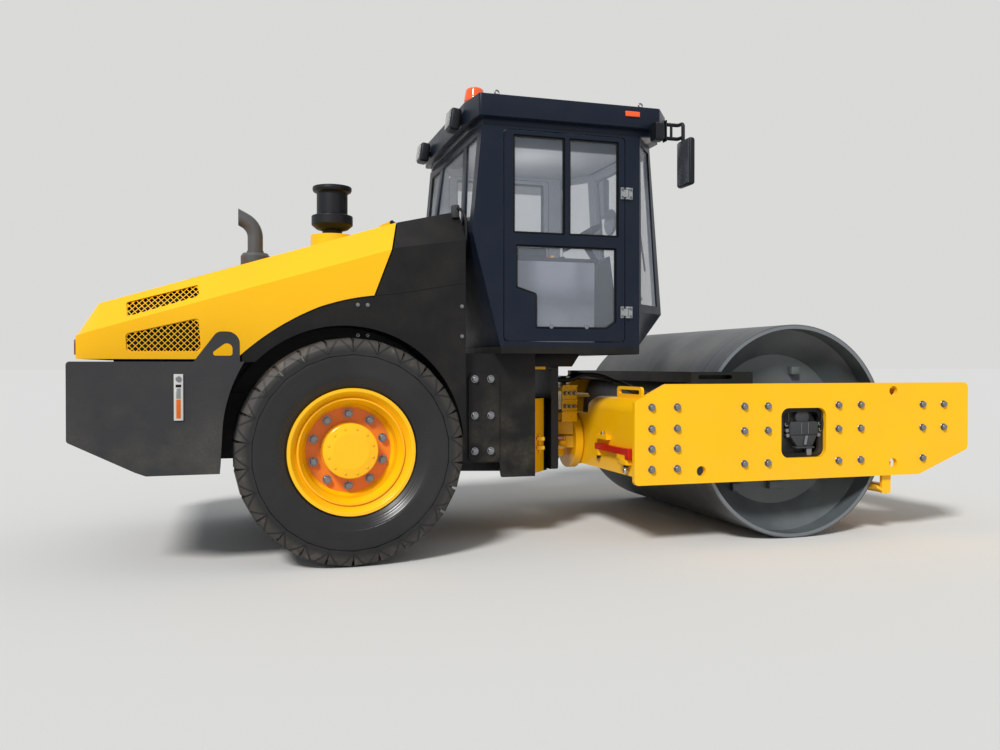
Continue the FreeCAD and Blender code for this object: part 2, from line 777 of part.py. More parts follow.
# Counterweight: the machine's tail, cut away round the tyres.
arch_r = tyre_r + d.arch_gap
weight_front = axle_x - 625
chin_x = rear_x + 357


def arch_point(z, radius):
    """The point of an arch round the rear tyres, behind the axle, at a height."""
    return axle_x - math.sqrt(radius ** 2 - (z - axle_z) ** 2)


weight_loop = [
    (rear_x, d.weight_bottom + 205, 20),
    (chin_x, d.weight_bottom + 24, 20),
    (chin_x + 60, d.weight_bottom),
    (arch_point(d.weight_bottom, arch_r - 7), d.weight_bottom),
    (arch_point(axle_z + 158, arch_r - 14), axle_z + 158),
    ("via", arch_point(axle_z + 372, arch_r + 18), axle_z + 372),
    (arch_point(d.weight_top, arch_r + 51), d.weight_top),
    (rear_x, d.weight_top, 20),
]
counterweight = Piece("counterweight")
counterweight.pad("XZ", [weight_loop], -d.weight_half, "2 * weight_half")
bay_rear = rear_x + 380
counterweight.cut(
    "XZ",
    [rectangle((bay_rear, d.weight_bottom - 50), (weight_front + 200, d.weight_top + 50))],
    -d.rail_half,
    "2 * rail_half",
)

# Lifting eyes on the counterweight's front corners.
eye_wall = 40
lift_eyes = Piece("lifting_eyes")
eye_loop = [
    (weight_front - 30, d.weight_top),
    (weight_front - 30, d.weight_top + 178, 72),
    (weight_front - 158, d.weight_top + 178, 50),
    (weight_front - 290, d.weight_top),
]
eye_hole = [
    (weight_front - 72, d.weight_top + 36, 14),
    (weight_front - 72, d.weight_top + 142, 32),
    (weight_front - 208, d.weight_top + 36, 14),
]
for side_name, side in SIDES:
    lift_eyes.pad("XZ", [eye_loop, eye_hole], span(side, d.weight_half - eye_wall, d.weight_half), eye_wall)

# Engine, one plain block on the rails' level.
engine = Piece("engine_block")
engine_half = 380
rail_top = 1050
engine.pad(
    "XZ",
    [rectangle((rear_x + 420, rail_top + 5), (axle_x - 150, 1400))],
    -engine_half,
    2 * engine_half,
)
for foot_x in (rear_x + 600, axle_x - 350):
    feet = rectangle((foot_x, -d.rail_half + 5), (foot_x + 120, d.rail_half - 5))
    engine.pad("XY", [feet], rail_top + d.seat_gap, 40)

# Wheel arches: side panels of the engine bay and the curved plates over the tyres.
cowl_front = axle_x + 800
arch_wall = 12
panel_wall = 26
hood_clear = 9
# The hood's lower edge over the wheel, from front to back, and the cowl's lower edge ahead of it.
hood_edge = [(187, 1683), ("via", -26, 1645), (-163, 1603), ("via", -461, 1442), (-640, 1301)]
cowl_edge = [(cowl_front, 1785), (axle_x + 373, 1705), (axle_x + 197, 1684)]


def hood_seam(rise):
    """The hood's lower edge, moved up."""
    return [(*kind, axle_x + x, z + rise) for *kind, x, z in hood_edge]


arch = Piece("wheel_arches")
for side_name, side in SIDES:
    arch_rear = arch_point(d.weight_top, arch_r)
    foot_x = axle_x + math.sqrt(arch_r ** 2 - 60 ** 2)
    panel_loop = [
        (arch_rear, d.weight_top),
        ("via", axle_x, axle_z + arch_r),
        (foot_x, axle_z + 60),
        (cowl_front, axle_z + 60),
        *cowl_edge,
        *hood_seam(-hood_clear),
        (axle_x - 640, d.weight_top),
    ]
    panel_in = d.hood_half - panel_wall
    arch.pad("XZ", [panel_loop], span(side, panel_in, d.hood_half), panel_wall)
    # A strip behind the joint, and the wall between the wheel and the engine bay.
    strip_loop = hood_seam(14) + hood_seam(-50)[::-1]
    arch.pad("XZ", [strip_loop], span(side, panel_in - arch_wall, panel_in), arch_wall)
    wall_loop = [
        (arch_point(rail_top + 5, arch_r), rail_top + 5),
        ("via", axle_x, axle_z + arch_r + 6),
        (2 * axle_x - arch_point(rail_top + 5, arch_r), rail_top + 5),
    ]
    arch.pad("XZ", [wall_loop], span(side, d.rail_half + 2, d.rail_half + 2 + arch_wall), arch_wall)
    outer_r = arch_r + arch_wall
    shell_loop = [
        (arch_rear, d.weight_top),
        ("via", axle_x, axle_z + arch_r),
        (foot_x, axle_z + 60),
        (saddle_rear, axle_z + 60),
        (saddle_rear, axle_z + 110),
        (axle_x + math.sqrt(outer_r ** 2 - 110 ** 2), axle_z + 110),
        ("via", axle_x, axle_z + outer_r),
        (arch_point(d.weight_top, outer_r), d.weight_top),
    ]
    arch.pad(
        "XZ",
        [shell_loop],
        span(side, d.rail_half, d.hood_half - panel_wall),
        d.hood_half - panel_wall - d.rail_half,
    )

# Hood: a tapering shell over the engine with a leaning upper facet.
hood_rear = rear_x + 7
hood_nose = rear_x + 112
hood_front = axle_x + 400
nose_top, front_top = 1612, 2204
hood_rise = (front_top - nose_top) / (hood_front - hood_nose)


def hood_section(crease, top, crown, inset=0):
    """Half a section of the hood, mirrored, from its foot to its flat top."""
    foot = 1267
    half = d.hood_half - inset
    right = [(half, foot - inset), (half, crease), (crown - inset, top - inset)]
    return right + [(-y, z) for y, z in reversed(right)]


def hood_walls(inset):
    crown = d.hood_half - d.hood_lean
    rear = hood_section(1405, 1412, d.hood_half - 60, inset)
    nose = hood_section(1440, nose_top, crown, inset)
    front = hood_section(2015, front_top, crown, inset)
    return [(hood_rear + inset, rear), (hood_nose + inset, nose), (hood_front + inset, front)]


hood = Piece("hood")
hood.loft("YZ", hood_walls(0))
hood.hollow("YZ", hood_walls(d.hood_wall))
hood_lip = [(370, 2400), (366, 2193), (302, 1985)]
below_hood = [
    (cowl_front, 1200),
    (cowl_front, 2400),
    *[(axle_x + x, z) for x, z in hood_lip],
    *hood_seam(0),
    (axle_x - 652, 1290),
    (axle_x - 652, 1200),
]
hood.cut("XZ", [below_hood], -d.hood_half - 50, "2 * hood_half + 100")

# Mesh in the hood's sides, and slots in its back.
low_mesh = [
    (axle_x - 1307, 1309, 25),
    (axle_x - 877, 1311, 25),
    (axle_x - 891, 1522, 25),
    (axle_x - 1313, 1420, 25),
]
high_mesh = [
    (axle_x - 1306, 1520, 12),
    (axle_x - 885, 1657, 12),
    (axle_x - 902, 1735, 12),
    (axle_x - 1321, 1617, 12),
]
hood_width = 2 * d.hood_half + 100
hood.cut("XZ", [low_mesh, high_mesh], -hood_width / 2, hood_width)
for row in range(5):
    slot_z = 1442 + 30 * row
    slots = [rectangle((y, slot_z), (y + 400, slot_z + 14), 6.5) for y in (-430, 30)]
    hood.cut("YZ", slots, hood_rear - 20, 160)
mesh = Piece("hood_mesh")
mesh_out = 7
mesh_wall = 4
mesh_in = mesh_out + mesh_wall
mesh.loft("YZ", hood_walls(mesh_out)).hollow("YZ", hood_walls(mesh_in))
beyond = rectangle((hood_rear - 100, 1000), (hood_front + 100, 2500))
mesh.cut("XZ", [beyond, inset(high_mesh, d.seat_gap)], -hood_width / 2, hood_width)
mesh.cut("XZ", mesh_openings(high_mesh), -hood_width / 2, hood_width)
low_lattice = [inset(low_mesh, d.seat_gap)] + mesh_openings(low_mesh)
for side_name, side in SIDES:
    mesh.pad("XZ", low_lattice, span(side, d.hood_half - mesh_in, d.hood_half - mesh_out), mesh_wall)

# Hinges along the hood's front edge, with their pins on the cowl.
lid_x = axle_x + 366
lid_z = 2220
lid_pin = 6
lid_knuckle = 14
lid_half = 30
lid_places = (-350, 350)
for lid_y in lid_places:
    lid_leaf = [
        (lid_x - 76, lid_z - 55),
        (lid_x - 14, lid_z - 35),
        (lid_x, lid_z - lid_knuckle),
        (lid_x, lid_z + lid_knuckle),
        (lid_x - 76, lid_z - 20),
    ]
    hood.pad("XZ", [lid_leaf], lid_y - lid_half, 2 * lid_half)
    hood.pad("XZ", [circle(lid_x, lid_z, lid_knuckle)], lid_y - lid_half, 2 * lid_half)
    hood.cut("XZ", [circle(lid_x, lid_z, lid_pin + d.fit)], lid_y - lid_half - 1, 2 * lid_half + 2)

stack_seat = d.seat_gap
base_radius = 100
exhaust_x = axle_x - 537
collar_top = 2164
hood.cut("XY", [circle(exhaust_x, 0, base_radius + stack_seat)], 1800, 400)
hood.pad("XY", [circle(axle_x, 0, 154)], 2015, collar_top - 2015)

# Cowl: the fixed housing between the hood and the cab, with the tanks in it.
cowl = Piece("cowl")


def cowl_section(foot, crease, top):
    """A section of the cowl, all round."""
    right = [(d.hood_half, foot), (d.hood_half, crease), (d.hood_half - d.hood_lean, top)]
    return right + [(-y, z) for y, z in reversed(right)]


lip_gap = 10
cowl_rear = axle_x + 190
cowl.loft("YZ", [(cowl_rear, cowl_section(1600, 1975, 2153)), (cowl_front, cowl_section(1700, 2069, 2292))])
cowl.cut(
    "XZ",
    [[
        (cowl_front + 10, 1500),
        (cowl_front + 10, cowl_edge[0][1] + stack_seat + 2),
        *[(x, z + stack_seat) for x, z in cowl_edge],
        *[(axle_x + lip_gap + x, z) for x, z in reversed(hood_lip)],
        (cowl_rear - 50, 2400),
        (cowl_rear - 50, 1500),
    ]],
    -d.hood_half - 50,
    "2 * hood_half + 100",
)

for lid_y in lid_places:
    ear = [
        (lid_x, lid_z + lid_knuckle),
        (lid_x, lid_z - lid_knuckle),
        (lid_x + 12, lid_z - 63),
        (lid_x + 74, lid_z - 63),
        (lid_x + 74, lid_z - 31),
    ]
    for ear_y in (lid_y - lid_half - 16, lid_y + lid_half + 2):
        cowl.pad("XZ", [ear], ear_y, 14)
        cowl.pad("XZ", [circle(lid_x, lid_z, lid_knuckle)], ear_y, 14)
    cowl.pad("XZ", [circle(lid_x, lid_z, lid_pin)], lid_y - lid_half - 16, 2 * lid_half + 32)

# Exhaust pipe with its base, and the air pre-cleaner with its bowl, on the hood.
bend_r, bend_z, bend_turn = 132, 2130, 62
pipe = [circle(bend_r, 0, 52.5), circle(bend_r, 0, 49)]
mouth_x = axle_x - 652
exhaust = Piece("exhaust", (exhaust_x - bend_r, 0, bend_z))
exhaust.pad("XY", [circle(bend_r, 0, base_radius)], 1850 - bend_z, 1996 - 1850)
shoulder = [(1996 - bend_z, circle(bend_r, 0, base_radius)), (2017 - bend_z, circle(bend_r, 0, base_radius - 14))]
exhaust.loft("XY", shoulder)
exhaust.pad("XY", [circle(bend_r, 0, 58)], 2010 - bend_z, 24)
exhaust.pad("XY", pipe, 2030 - bend_z, bend_z - 2030)
exhaust.turn("XY", pipe, "V_Axis", angle=-bend_turn)
exhaust.pad("XY", pipe, 0, 90, -bend_turn)
mouth = mouth_x - exhaust_x + bend_r
exhaust.cut("XZ", [rectangle((mouth - 200, 30), (mouth, 300))], -base_radius, 2 * base_radius)
# A panel on the hood's top stands round its base.
panel_wall_z = 16
panel_foot = []
for from_pipe in (-440, 90):
    foot_z = nose_top + hood_rise * (exhaust_x + from_pipe - hood_nose) + stack_seat - bend_z
    panel_foot.append((bend_r + from_pipe, foot_z))
panel_head = [(x, z + panel_wall_z) for x, z in reversed(panel_foot)]
exhaust.pad("XZ", [panel_foot + panel_head], -400, 800)
cleaner = Piece("precleaner")
cleaner.turn(
    "XZ",
    [[
        (0, collar_top + stack_seat),
        (71, collar_top + stack_seat),
        (71, 2198),
        (112, 2210, 10),
        (147, 2240, 10),
        (147, 2304, 8),
        (110, 2318),
        (110, 2466),
        (134, 2480),
        (140, 2494),
        (138, 2514, 6),
        (70, 2528),
        (0, 2528),
    ]],
    "V_Axis",
)
cleaner.body.Placement = Placement(Vector(axle_x, 0, 0), Rotation())

# Cab: floor, walls, doors, panes and roof.
cab_rear = axle_x + 833
cab_side_front = axle_x + 2050
cab_nose_low = axle_x + 2372
cab_nose_high = axle_x + 2273
nose_half = 500
sill = 1607
rear_half = 480
inner = d.cab_half - d.cab_wall

floor = Piece("cab_floor")
floor_loop = [
    (axle_x + 1030, -d.cab_half),
    (cab_side_front, -d.cab_half),
    (axle_x + 2180, -nose_half),
    (axle_x + 2180, nose_half),
    (cab_side_front, d.cab_half),
    (axle_x + 1030, d.cab_half),
]
floor.pad("XY", [floor_loop], d.cab_floor, 50)

door_rear = axle_x + 1055
door_front = axle_x + 1935
door_low = 1395
door_high = 2815
side_loop = [
    (axle_x + 1027, d.cab_floor + 50),
    (cab_side_front, d.cab_floor + 50),
    (cab_side_front, d.cab_eave),
    (axle_x + 901, d.cab_eave),
    (cab_rear, d.belt + 38),
]
door_hole = rectangle(
    (door_rear - d.door_gap, door_low - d.door_gap),
    (door_front + d.door_gap, door_high + d.door_gap),
    30,
)
mullion_x = door_rear + 450
window_low = d.belt + 38
window_high = door_high - 28
upper_window = [
    rectangle((door_rear + 63, window_low), (mullion_x - 15, window_high), 12),
    rectangle((mullion_x + 15, window_low), (door_front - 44, window_high), 12),
]
lower_window = [
    (door_rear + 222, door_low + 85, 12),
    (door_front - 134, door_low + 85, 8),
    (door_front - 60, door_low + 135, 8),
    (door_front - 60, d.belt - 38, 12),
    (door_rear + 82, d.belt - 38, 12),
    (door_rear + 82, door_low + 358, 12),
    (door_rear + 222, door_low + 314, 12),
]
pane_in = (d.cab_wall - d.glass) / 2
hinge_x = axle_x + 1948
hinge_y = d.cab_half + 13
hinge_heights = (1600, 2430)
hinge_pin = 6
knuckle = 11
leaf = 5
wall = Piece("cab_sides")
for side_name, side in SIDES:
    wall.pad("XZ", [side_loop, door_hole], span(side, inner, d.cab_half), "cab_wall")
    door = Piece("door_" + side_name)
    door_loop = rectangle((door_rear, door_low), (door_front, door_high), 26)
    door.pad("XZ", [door_loop, lower_window] + upper_window, span(side, inner, d.cab_half), "cab_wall")
    for z in hinge_heights:
        door_leaf = [
            (hinge_x - 43, z - 40),
            (hinge_x - 22, z - 40),
            (hinge_x - 22, z - 25),
            (hinge_x - knuckle + 2, z - 25),
            (hinge_x - knuckle + 2, z + 25),
            (hinge_x - 22, z + 25),
            (hinge_x - 22, z + 40),
            (hinge_x - 43, z + 40),
        ]
        door.pad("XZ", [door_leaf], span(side, d.cab_half, hinge_y), hinge_y - d.cab_half)
        door.pad("XY", [circle(hinge_x, side * hinge_y, knuckle)], z - 25, 50)
        door.cut("XY", [circle(hinge_x, side * hinge_y, hinge_pin + d.fit)], z - 41, 82)
        wall.pad("XZ", [rectangle((hinge_x + knuckle + 3, z - 40), (hinge_x + 43, z + 40))],
                 span(side, d.cab_half, hinge_y), hinge_y - d.cab_half)
        for ear in (z - 40, z + 28):
            ear_low = min(side * (hinge_y - 8), side * (hinge_y + 8))
            wall.pad("XY", [rectangle((hinge_x - 8, ear_low), (hinge_x + knuckle + 4, ear_low + 16))], ear, 12)
        wall.pad("XY", [circle(hinge_x, side * hinge_y, hinge_pin)], z - 40, 80)
    pane = Piece("door_glass_" + side_name)
    pane.pad(
        "XZ",
        upper_window + [lower_window],
        span(side, inner + pane_in, inner + pane_in + d.glass),
        "glass",
    )

front = Piece("cab_front")
frame_edge = 45


def nose_x_at(z):
    """How far forward the inclined windscreen is at a height."""
    return cab_nose_low + (cab_nose_high - cab_nose_low) * (z - sill) / (d.cab_eave - sill)


def front_ring(nose):
    """A loop of the front's wall thickness, seen from above."""
    wall = d.cab_wall
    outer = [(cab_side_front, -d.cab_half), (nose, -nose_half), (nose, nose_half), (cab_side_front, d.cab_half)]
    back = [
        (cab_side_front, d.cab_half - wall * 1.3),
        (nose - wall, nose_half - wall * 0.4),
        (nose - wall, -nose_half + wall * 0.4),
        (cab_side_front, -d.cab_half + wall * 1.3),
    ]
    return outer + back


foot_nose = axle_x + 2180
front.loft("XY", [(d.cab_floor + 50, front_ring(foot_nose)), (sill, front_ring(cab_nose_low))])
front.loft("XY", [(sill, front_ring(cab_nose_low)), (d.cab_eave, front_ring(cab_nose_high))])
screen_low = sill + 45
screen_high = d.cab_eave - 60
screen = Piece("windscreen")
front.cut("YZ", [rectangle((-nose_half + 45, screen_low), (nose_half - 45, screen_high))], axle_x + 2150, 300)
screen.pad(
    "XZ",
    [[
        (nose_x_at(screen_low) - 24, screen_low),
        (nose_x_at(screen_low) - 16, screen_low),
        (nose_x_at(screen_high) - 16, screen_high),
        (nose_x_at(screen_high) - 24, screen_high),
    ]],
    -nose_half + 45,
    2 * (nose_half - 45),
)

rear = Piece("cab_rear")
rear.pad(
    "XZ",
    [[
        (axle_x + 1027, d.cab_floor + 50),
        (axle_x + 1067, d.cab_floor + 50),
        (cab_rear + 40, 2122),
        (axle_x + 941, d.cab_eave),
        (axle_x + 901, d.cab_eave),
        (cab_rear, 2122),
    ]],
    -inner,
    2 * inner,
)
rear.cut("YZ", [rectangle((-inner + 60, 2200), (inner - 60, 2780))], axle_x + 700, 400)
back_glass = Piece("rear_glass")
back_glass.pad(
    "XZ",
    [[
        (axle_x + 858, 2200),
        (axle_x + 866, 2200),
        (axle_x + 913, 2780),
        (axle_x + 905, 2780),
    ]],
    -inner + 60,
    2 * (inner - 60),
)

roof = Piece("cab_roof")
roof_loop = [
    (axle_x + 830, -580, 20),
    (axle_x + 869, -d.roof_half, 20),
    (axle_x + 2179, -d.roof_half, 20),
    (axle_x + 2323, -652, 20),
    (axle_x + 2323, 652, 20),
    (axle_x + 2179, d.roof_half, 20),
    (axle_x + 869, d.roof_half, 20),
    (axle_x + 830, 580, 20),
]
roof.pad("XY", [roof_loop], d.cab_eave, d.roof_top - d.cab_eave)

# Mirrors on tubes at the roof's front corners, with a round one more on the left.
mirrors = Piece("mirrors")
mirror_x = axle_x + 2440
mirror_y = 750
head_half = 95
tube = 12
tube_y = 640
roof_front = axle_x + 2323
for side_name, side in SIDES:
    head = rectangle((side * mirror_y - head_half, 2520), (side * mirror_y + head_half, 2855), 30)
    mirrors.pad("YZ", [head], mirror_x - 25, 50)
    for tube_z in (2885, 2985):
        mirrors.pad(
            "YZ",
            [circle(side * tube_y, tube_z, tube)],
            roof_front + d.seat_gap,
            mirror_x - roof_front - d.seat_gap + tube,
        )
        mirrors.pad(
            "XZ",
            [circle(mirror_x, tube_z, tube)],
            span(side, tube_y, mirror_y - 42),
            mirror_y - 42 - tube_y,
        )
    mirrors.pad("XY", [circle(mirror_x, side * (mirror_y - 42), tube - 2)], 2845, 147)
    mirrors.pad("XY", [circle(mirror_x - 60, side * tube_y, 7)], 2885, 100)
mirrors.pad("YZ", [circle(700, 2485, 115)], mirror_x + 40, 25)
mirrors.pad("YZ", [circle(700, 2560, 10)], mirror_x + 20, 25)

# Work lights at the roof's corners, and the beacon on the roof.
lights = Piece("work_lights")
for side_name, side in SIDES:
    front_lamp = rectangle((min(side * 864, side * 954), 2785), (max(side * 864, side * 954), 2910), 22)
    lights.pad("YZ", [front_lamp], axle_x + 2100, 62)
    arm_low = min(side * (d.roof_half + d.seat_gap), side * 880)
    lights.pad("YZ", [rectangle((arm_low, 2852), (arm_low + 880 - d.roof_half - d.seat_gap, 2900))],
               axle_x + 2115, 32)
    rear_lamp = rectangle((side * 500 - 50, 2870), (side * 500 + 50, 2965), 22)
    lights.pad("YZ", [rear_lamp], axle_x + 752, 60)
    lights.pad("YZ", [rectangle((side * 500 - 20, 2900), (side * 500 + 20, 2940))], axle_x + 800, 30 - d.seat_gap)
beacon = Piece("beacon", (axle_x + 930, -500, d.roof_top))
beacon.turn("XZ", [[(0, 0), (62, 0), (62, 30), (50, 32), (50, 120, 20), (0, 126)]], "V_Axis")

# Steps up to the left door, and the handrail behind it.
steps = Piece("steps_and_handrail")
step_in = d.saddle_half + 16 + d.seat_gap
step_rear = axle_x + 830
step_front = axle_x + 1095
step_cheek = [
    (step_in, 500),
    (step_in + 245, 500, 20),
    (step_in + 245, 560, 20),
    (step_in + 90, 1200, 20),
    (step_in, 1200),
]
for cheek_x in (step_rear, step_front - 10):
    steps.pad("YZ", [step_cheek], cheek_x, 10)
for tread_z, tread_y in ((500, 240), (800, 165), (1100, 100)):
    steps.pad("XY", [rectangle((step_rear, step_in), (step_front, step_in + tread_y))], tread_z, 30)
rail_x = axle_x + 1018
rail_y = 868
for end_z in (1550, 2350):
    steps.pad("XZ", [circle(rail_x, end_z, 12)], d.cab_half + d.seat_gap, rail_y - d.cab_half - d.seat_gap)
steps.pad("XY", [circle(rail_x, rail_y, 15)], 1535, 830)

# Driver's place: seat, console and steering wheel.
seat = Piece("seat_base")
seat.pad("XZ", [rectangle((axle_x + 1180, d.cab_floor + 50), (axle_x + 1520, 1750))], -230, 460)
for side_name, side in SIDES:
    seat.pad("XZ", [rectangle((axle_x + 1240, 1640), (axle_x + 1500, 1700))], span(side, 228, 300), 72)
    arm_box = [
        (axle_x + 1240, 1620, 15),
        (axle_x + 1540, 1620, 15),
        (axle_x + 1640, 1900, 25),
        (axle_x + 1620, 1965, 20),
        (axle_x + 1240, 1985, 20),
    ]
    seat.pad("XZ", [arm_box], span(side, 290, 410), 120)
cushion = Piece("seat_cushion")
cushion.pad("XZ", [rectangle((axle_x + 1130, 1750), (axle_x + 1620, 1870), 40)], -250, 500)
back = Piece("seat_back")
back.pad(
    "XZ",
    [[
        (axle_x + 1130, 1870.3, 30),
        (axle_x + 1230, 1870.3, 30),
        (axle_x + 1120, 2420, 30),
        (axle_x + 1030, 2400, 30),
    ]],
    -240,
    480,
)
console = Piece("console")
wheel_x = axle_x + 1930
wheel_z = 2230
column = 230
lean = math.radians(35)
foot_at = (wheel_x + column * math.sin(lean), wheel_z - column * math.cos(lean))
facet = (60 * math.cos(lean), 60 * math.sin(lean))
console.pad(
    "XZ",
    [[
        (axle_x + 1990, d.cab_floor + 50),
        (axle_x + 2120, d.cab_floor + 50),
        (axle_x + 2180, 1560),
        (foot_at[0] + facet[0], foot_at[1] + facet[1]),
        (foot_at[0] - facet[0], foot_at[1] - facet[1]),
        (axle_x + 1960, 1900),
    ]],
    -150,
    300,
)
steering = Piece("steering_wheel")
steering.turn(
    "XZ",
    [circle(180, 0, 16)],
    "V_Axis",
)
steering.pad("XY", [rectangle((-182, -20), (182, 20))], -10, 20)
steering.pad("XY", [circle(0, 0, 45)], -25, 40)
steering.pad("XY", [circle(0, 0, 25)], -column, column - 25)
steering.body.Placement = Placement(
    Vector(wheel_x, 0, wheel_z), Rotation(Vector(0, 1, 0), -math.degrees(lean))
)

# Steering cylinders: a barrel pinned to the rear frame and a rod with a fork.
cyl_y = 185
cyl_rear = pivot_x - 600
for side_name, side in SIDES:
    barrel = Piece("steer_barrel_" + side_name, (cyl_rear, side * cyl_y, 645))
    barrel.pad("YZ", [circle(0, 0, 40), circle(0, 0, 20 + d.fit)], 60, 308)
    barrel.pad("YZ", [circle(0, 0, 30)], 28, 32)
    barrel.pad("XY", [circle(0, 0, 40), circle(0, 0, 20 + d.fit)], -20, 40)
    rod = Piece("steer_rod_" + side_name, (cyl_rear, side * cyl_y, 645))
    rod.pad("YZ", [circle(0, 0, 20)], 215, 262)
    rod.pad("YZ", [rectangle((-30, -45), (30, 45))], 475, 30)
    for tine_low in (-45, 25):
        rod.pad("XY", [rectangle((503, -30), (632, 30), 28)], tine_low, 20)
steer_pins = Piece("steer_cylinder_pins")
for side_name, side in SIDES:
    steer_pins.pad("XY", [circle(cyl_rear, side * cyl_y, 20)], 590, 110)
    steer_pins.pad(
        "XY",
        [rectangle(
            (cyl_rear - 50, min(side * (cyl_y - 50), side * rail_in)),
            (cyl_rear + 50, max(side * (cyl_y - 50), side * rail_in)),
        )],
        570,
        25,
    )

doc.recompute()

failed = [thing.Label for thing in doc.Objects if {"Invalid", "Error"} & set(thing.State)]
if failed:
    raise RuntimeError("not built: " + ", ".join(failed))

os.makedirs("parts", exist_ok=True)
for body in pieces:
    shape = body.Shape
    if shape.isNull() or not shape.isValid():
        raise RuntimeError("bad shape: " + body.Label)
    shape.exportStep("parts/%s.step" % body.Label)
    box = shape.BoundBox
    print("%-24s solids %d  x %7.1f %7.1f  y %7.1f %7.1f  z %7.1f %7.1f" % (
        body.Label, len(shape.Solids), box.XMin, box.XMax, box.YMin, box.YMax, box.ZMin, box.ZMax))
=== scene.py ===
"""A single-drum road roller in a pale studio: finishes and small pieces round its CAD model."""

import json
import math

import bpy
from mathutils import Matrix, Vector


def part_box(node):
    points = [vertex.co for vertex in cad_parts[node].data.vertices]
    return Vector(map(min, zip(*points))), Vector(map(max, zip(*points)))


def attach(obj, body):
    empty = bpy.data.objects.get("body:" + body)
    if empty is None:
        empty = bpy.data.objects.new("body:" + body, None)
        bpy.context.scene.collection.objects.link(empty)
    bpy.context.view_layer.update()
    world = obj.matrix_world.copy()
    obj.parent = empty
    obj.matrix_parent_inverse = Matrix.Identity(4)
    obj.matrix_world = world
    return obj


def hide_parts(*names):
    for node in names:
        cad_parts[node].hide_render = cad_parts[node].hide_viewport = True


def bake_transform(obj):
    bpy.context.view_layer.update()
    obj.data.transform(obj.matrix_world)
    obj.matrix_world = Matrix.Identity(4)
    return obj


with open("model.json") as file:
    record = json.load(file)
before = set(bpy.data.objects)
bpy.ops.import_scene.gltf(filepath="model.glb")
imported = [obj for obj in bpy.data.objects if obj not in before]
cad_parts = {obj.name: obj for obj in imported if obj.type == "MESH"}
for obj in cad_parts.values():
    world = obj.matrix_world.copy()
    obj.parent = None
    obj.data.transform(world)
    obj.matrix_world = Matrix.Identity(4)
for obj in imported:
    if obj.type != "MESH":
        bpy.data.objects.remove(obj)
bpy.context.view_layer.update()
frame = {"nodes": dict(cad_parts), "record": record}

# Places that the finishes and the small pieces are measured from, in metres.
tyre_low, tyre_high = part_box("tyre_right")
axle_x = (tyre_low.x + tyre_high.x) / 2
axle_z = (tyre_low.z + tyre_high.z) / 2
wheel_y = -(tyre_low.y + tyre_high.y) / 2
drum_low, drum_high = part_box("drum")
drum_x = (drum_low.x + drum_high.x) / 2
drum_z = (drum_low.z + drum_high.z) / 2
plate_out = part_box("side_plates")[1].y
hood_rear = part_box("hood")[0].x
SIDES = (("right", -1), ("left", 1))


# Finishes


class Value:
    """A socket of a finish's nodes, with arithmetic."""

    def __init__(self, finish, socket):
        self.finish = finish
        self.socket = socket

    def of(self, name):
        """Another output of the same node."""
        return Value(self.finish, self.socket.node.outputs[name])

    def math(self, operation, *others):
        return self.finish.node("ShaderNodeMath", dict(enumerate((self, *others))), operation=operation)

    def __add__(self, other):
        return self.math("ADD", other)

    def __sub__(self, other):
        return self.math("SUBTRACT", other)

    def __rsub__(self, other):
        return self.finish.node("ShaderNodeMath", {0: other, 1: self}, operation="SUBTRACT")

    def __mul__(self, other):
        return self.math("MULTIPLY", other)

    def __pow__(self, other):
        return self.math("POWER", other)

    def __gt__(self, other):
        return self.math("GREATER_THAN", other)

    def __lt__(self, other):
        return self.math("LESS_THAN", other)

    __radd__ = __add__
    __rmul__ = __mul__

    def size(self):
        return self.math("ABSOLUTE")

    def ramp(self, low, high):
        """0 below low, 1 above high, straight between."""
        return self.finish.node(
            "ShaderNodeMapRange", {"Value": self, "From Min": low, "From Max": high}, out="Result", clamp=True
        )

    def inside(self, low, high):
        """1 between two numbers, 0 outside."""
        return (self > low) * (self < high)


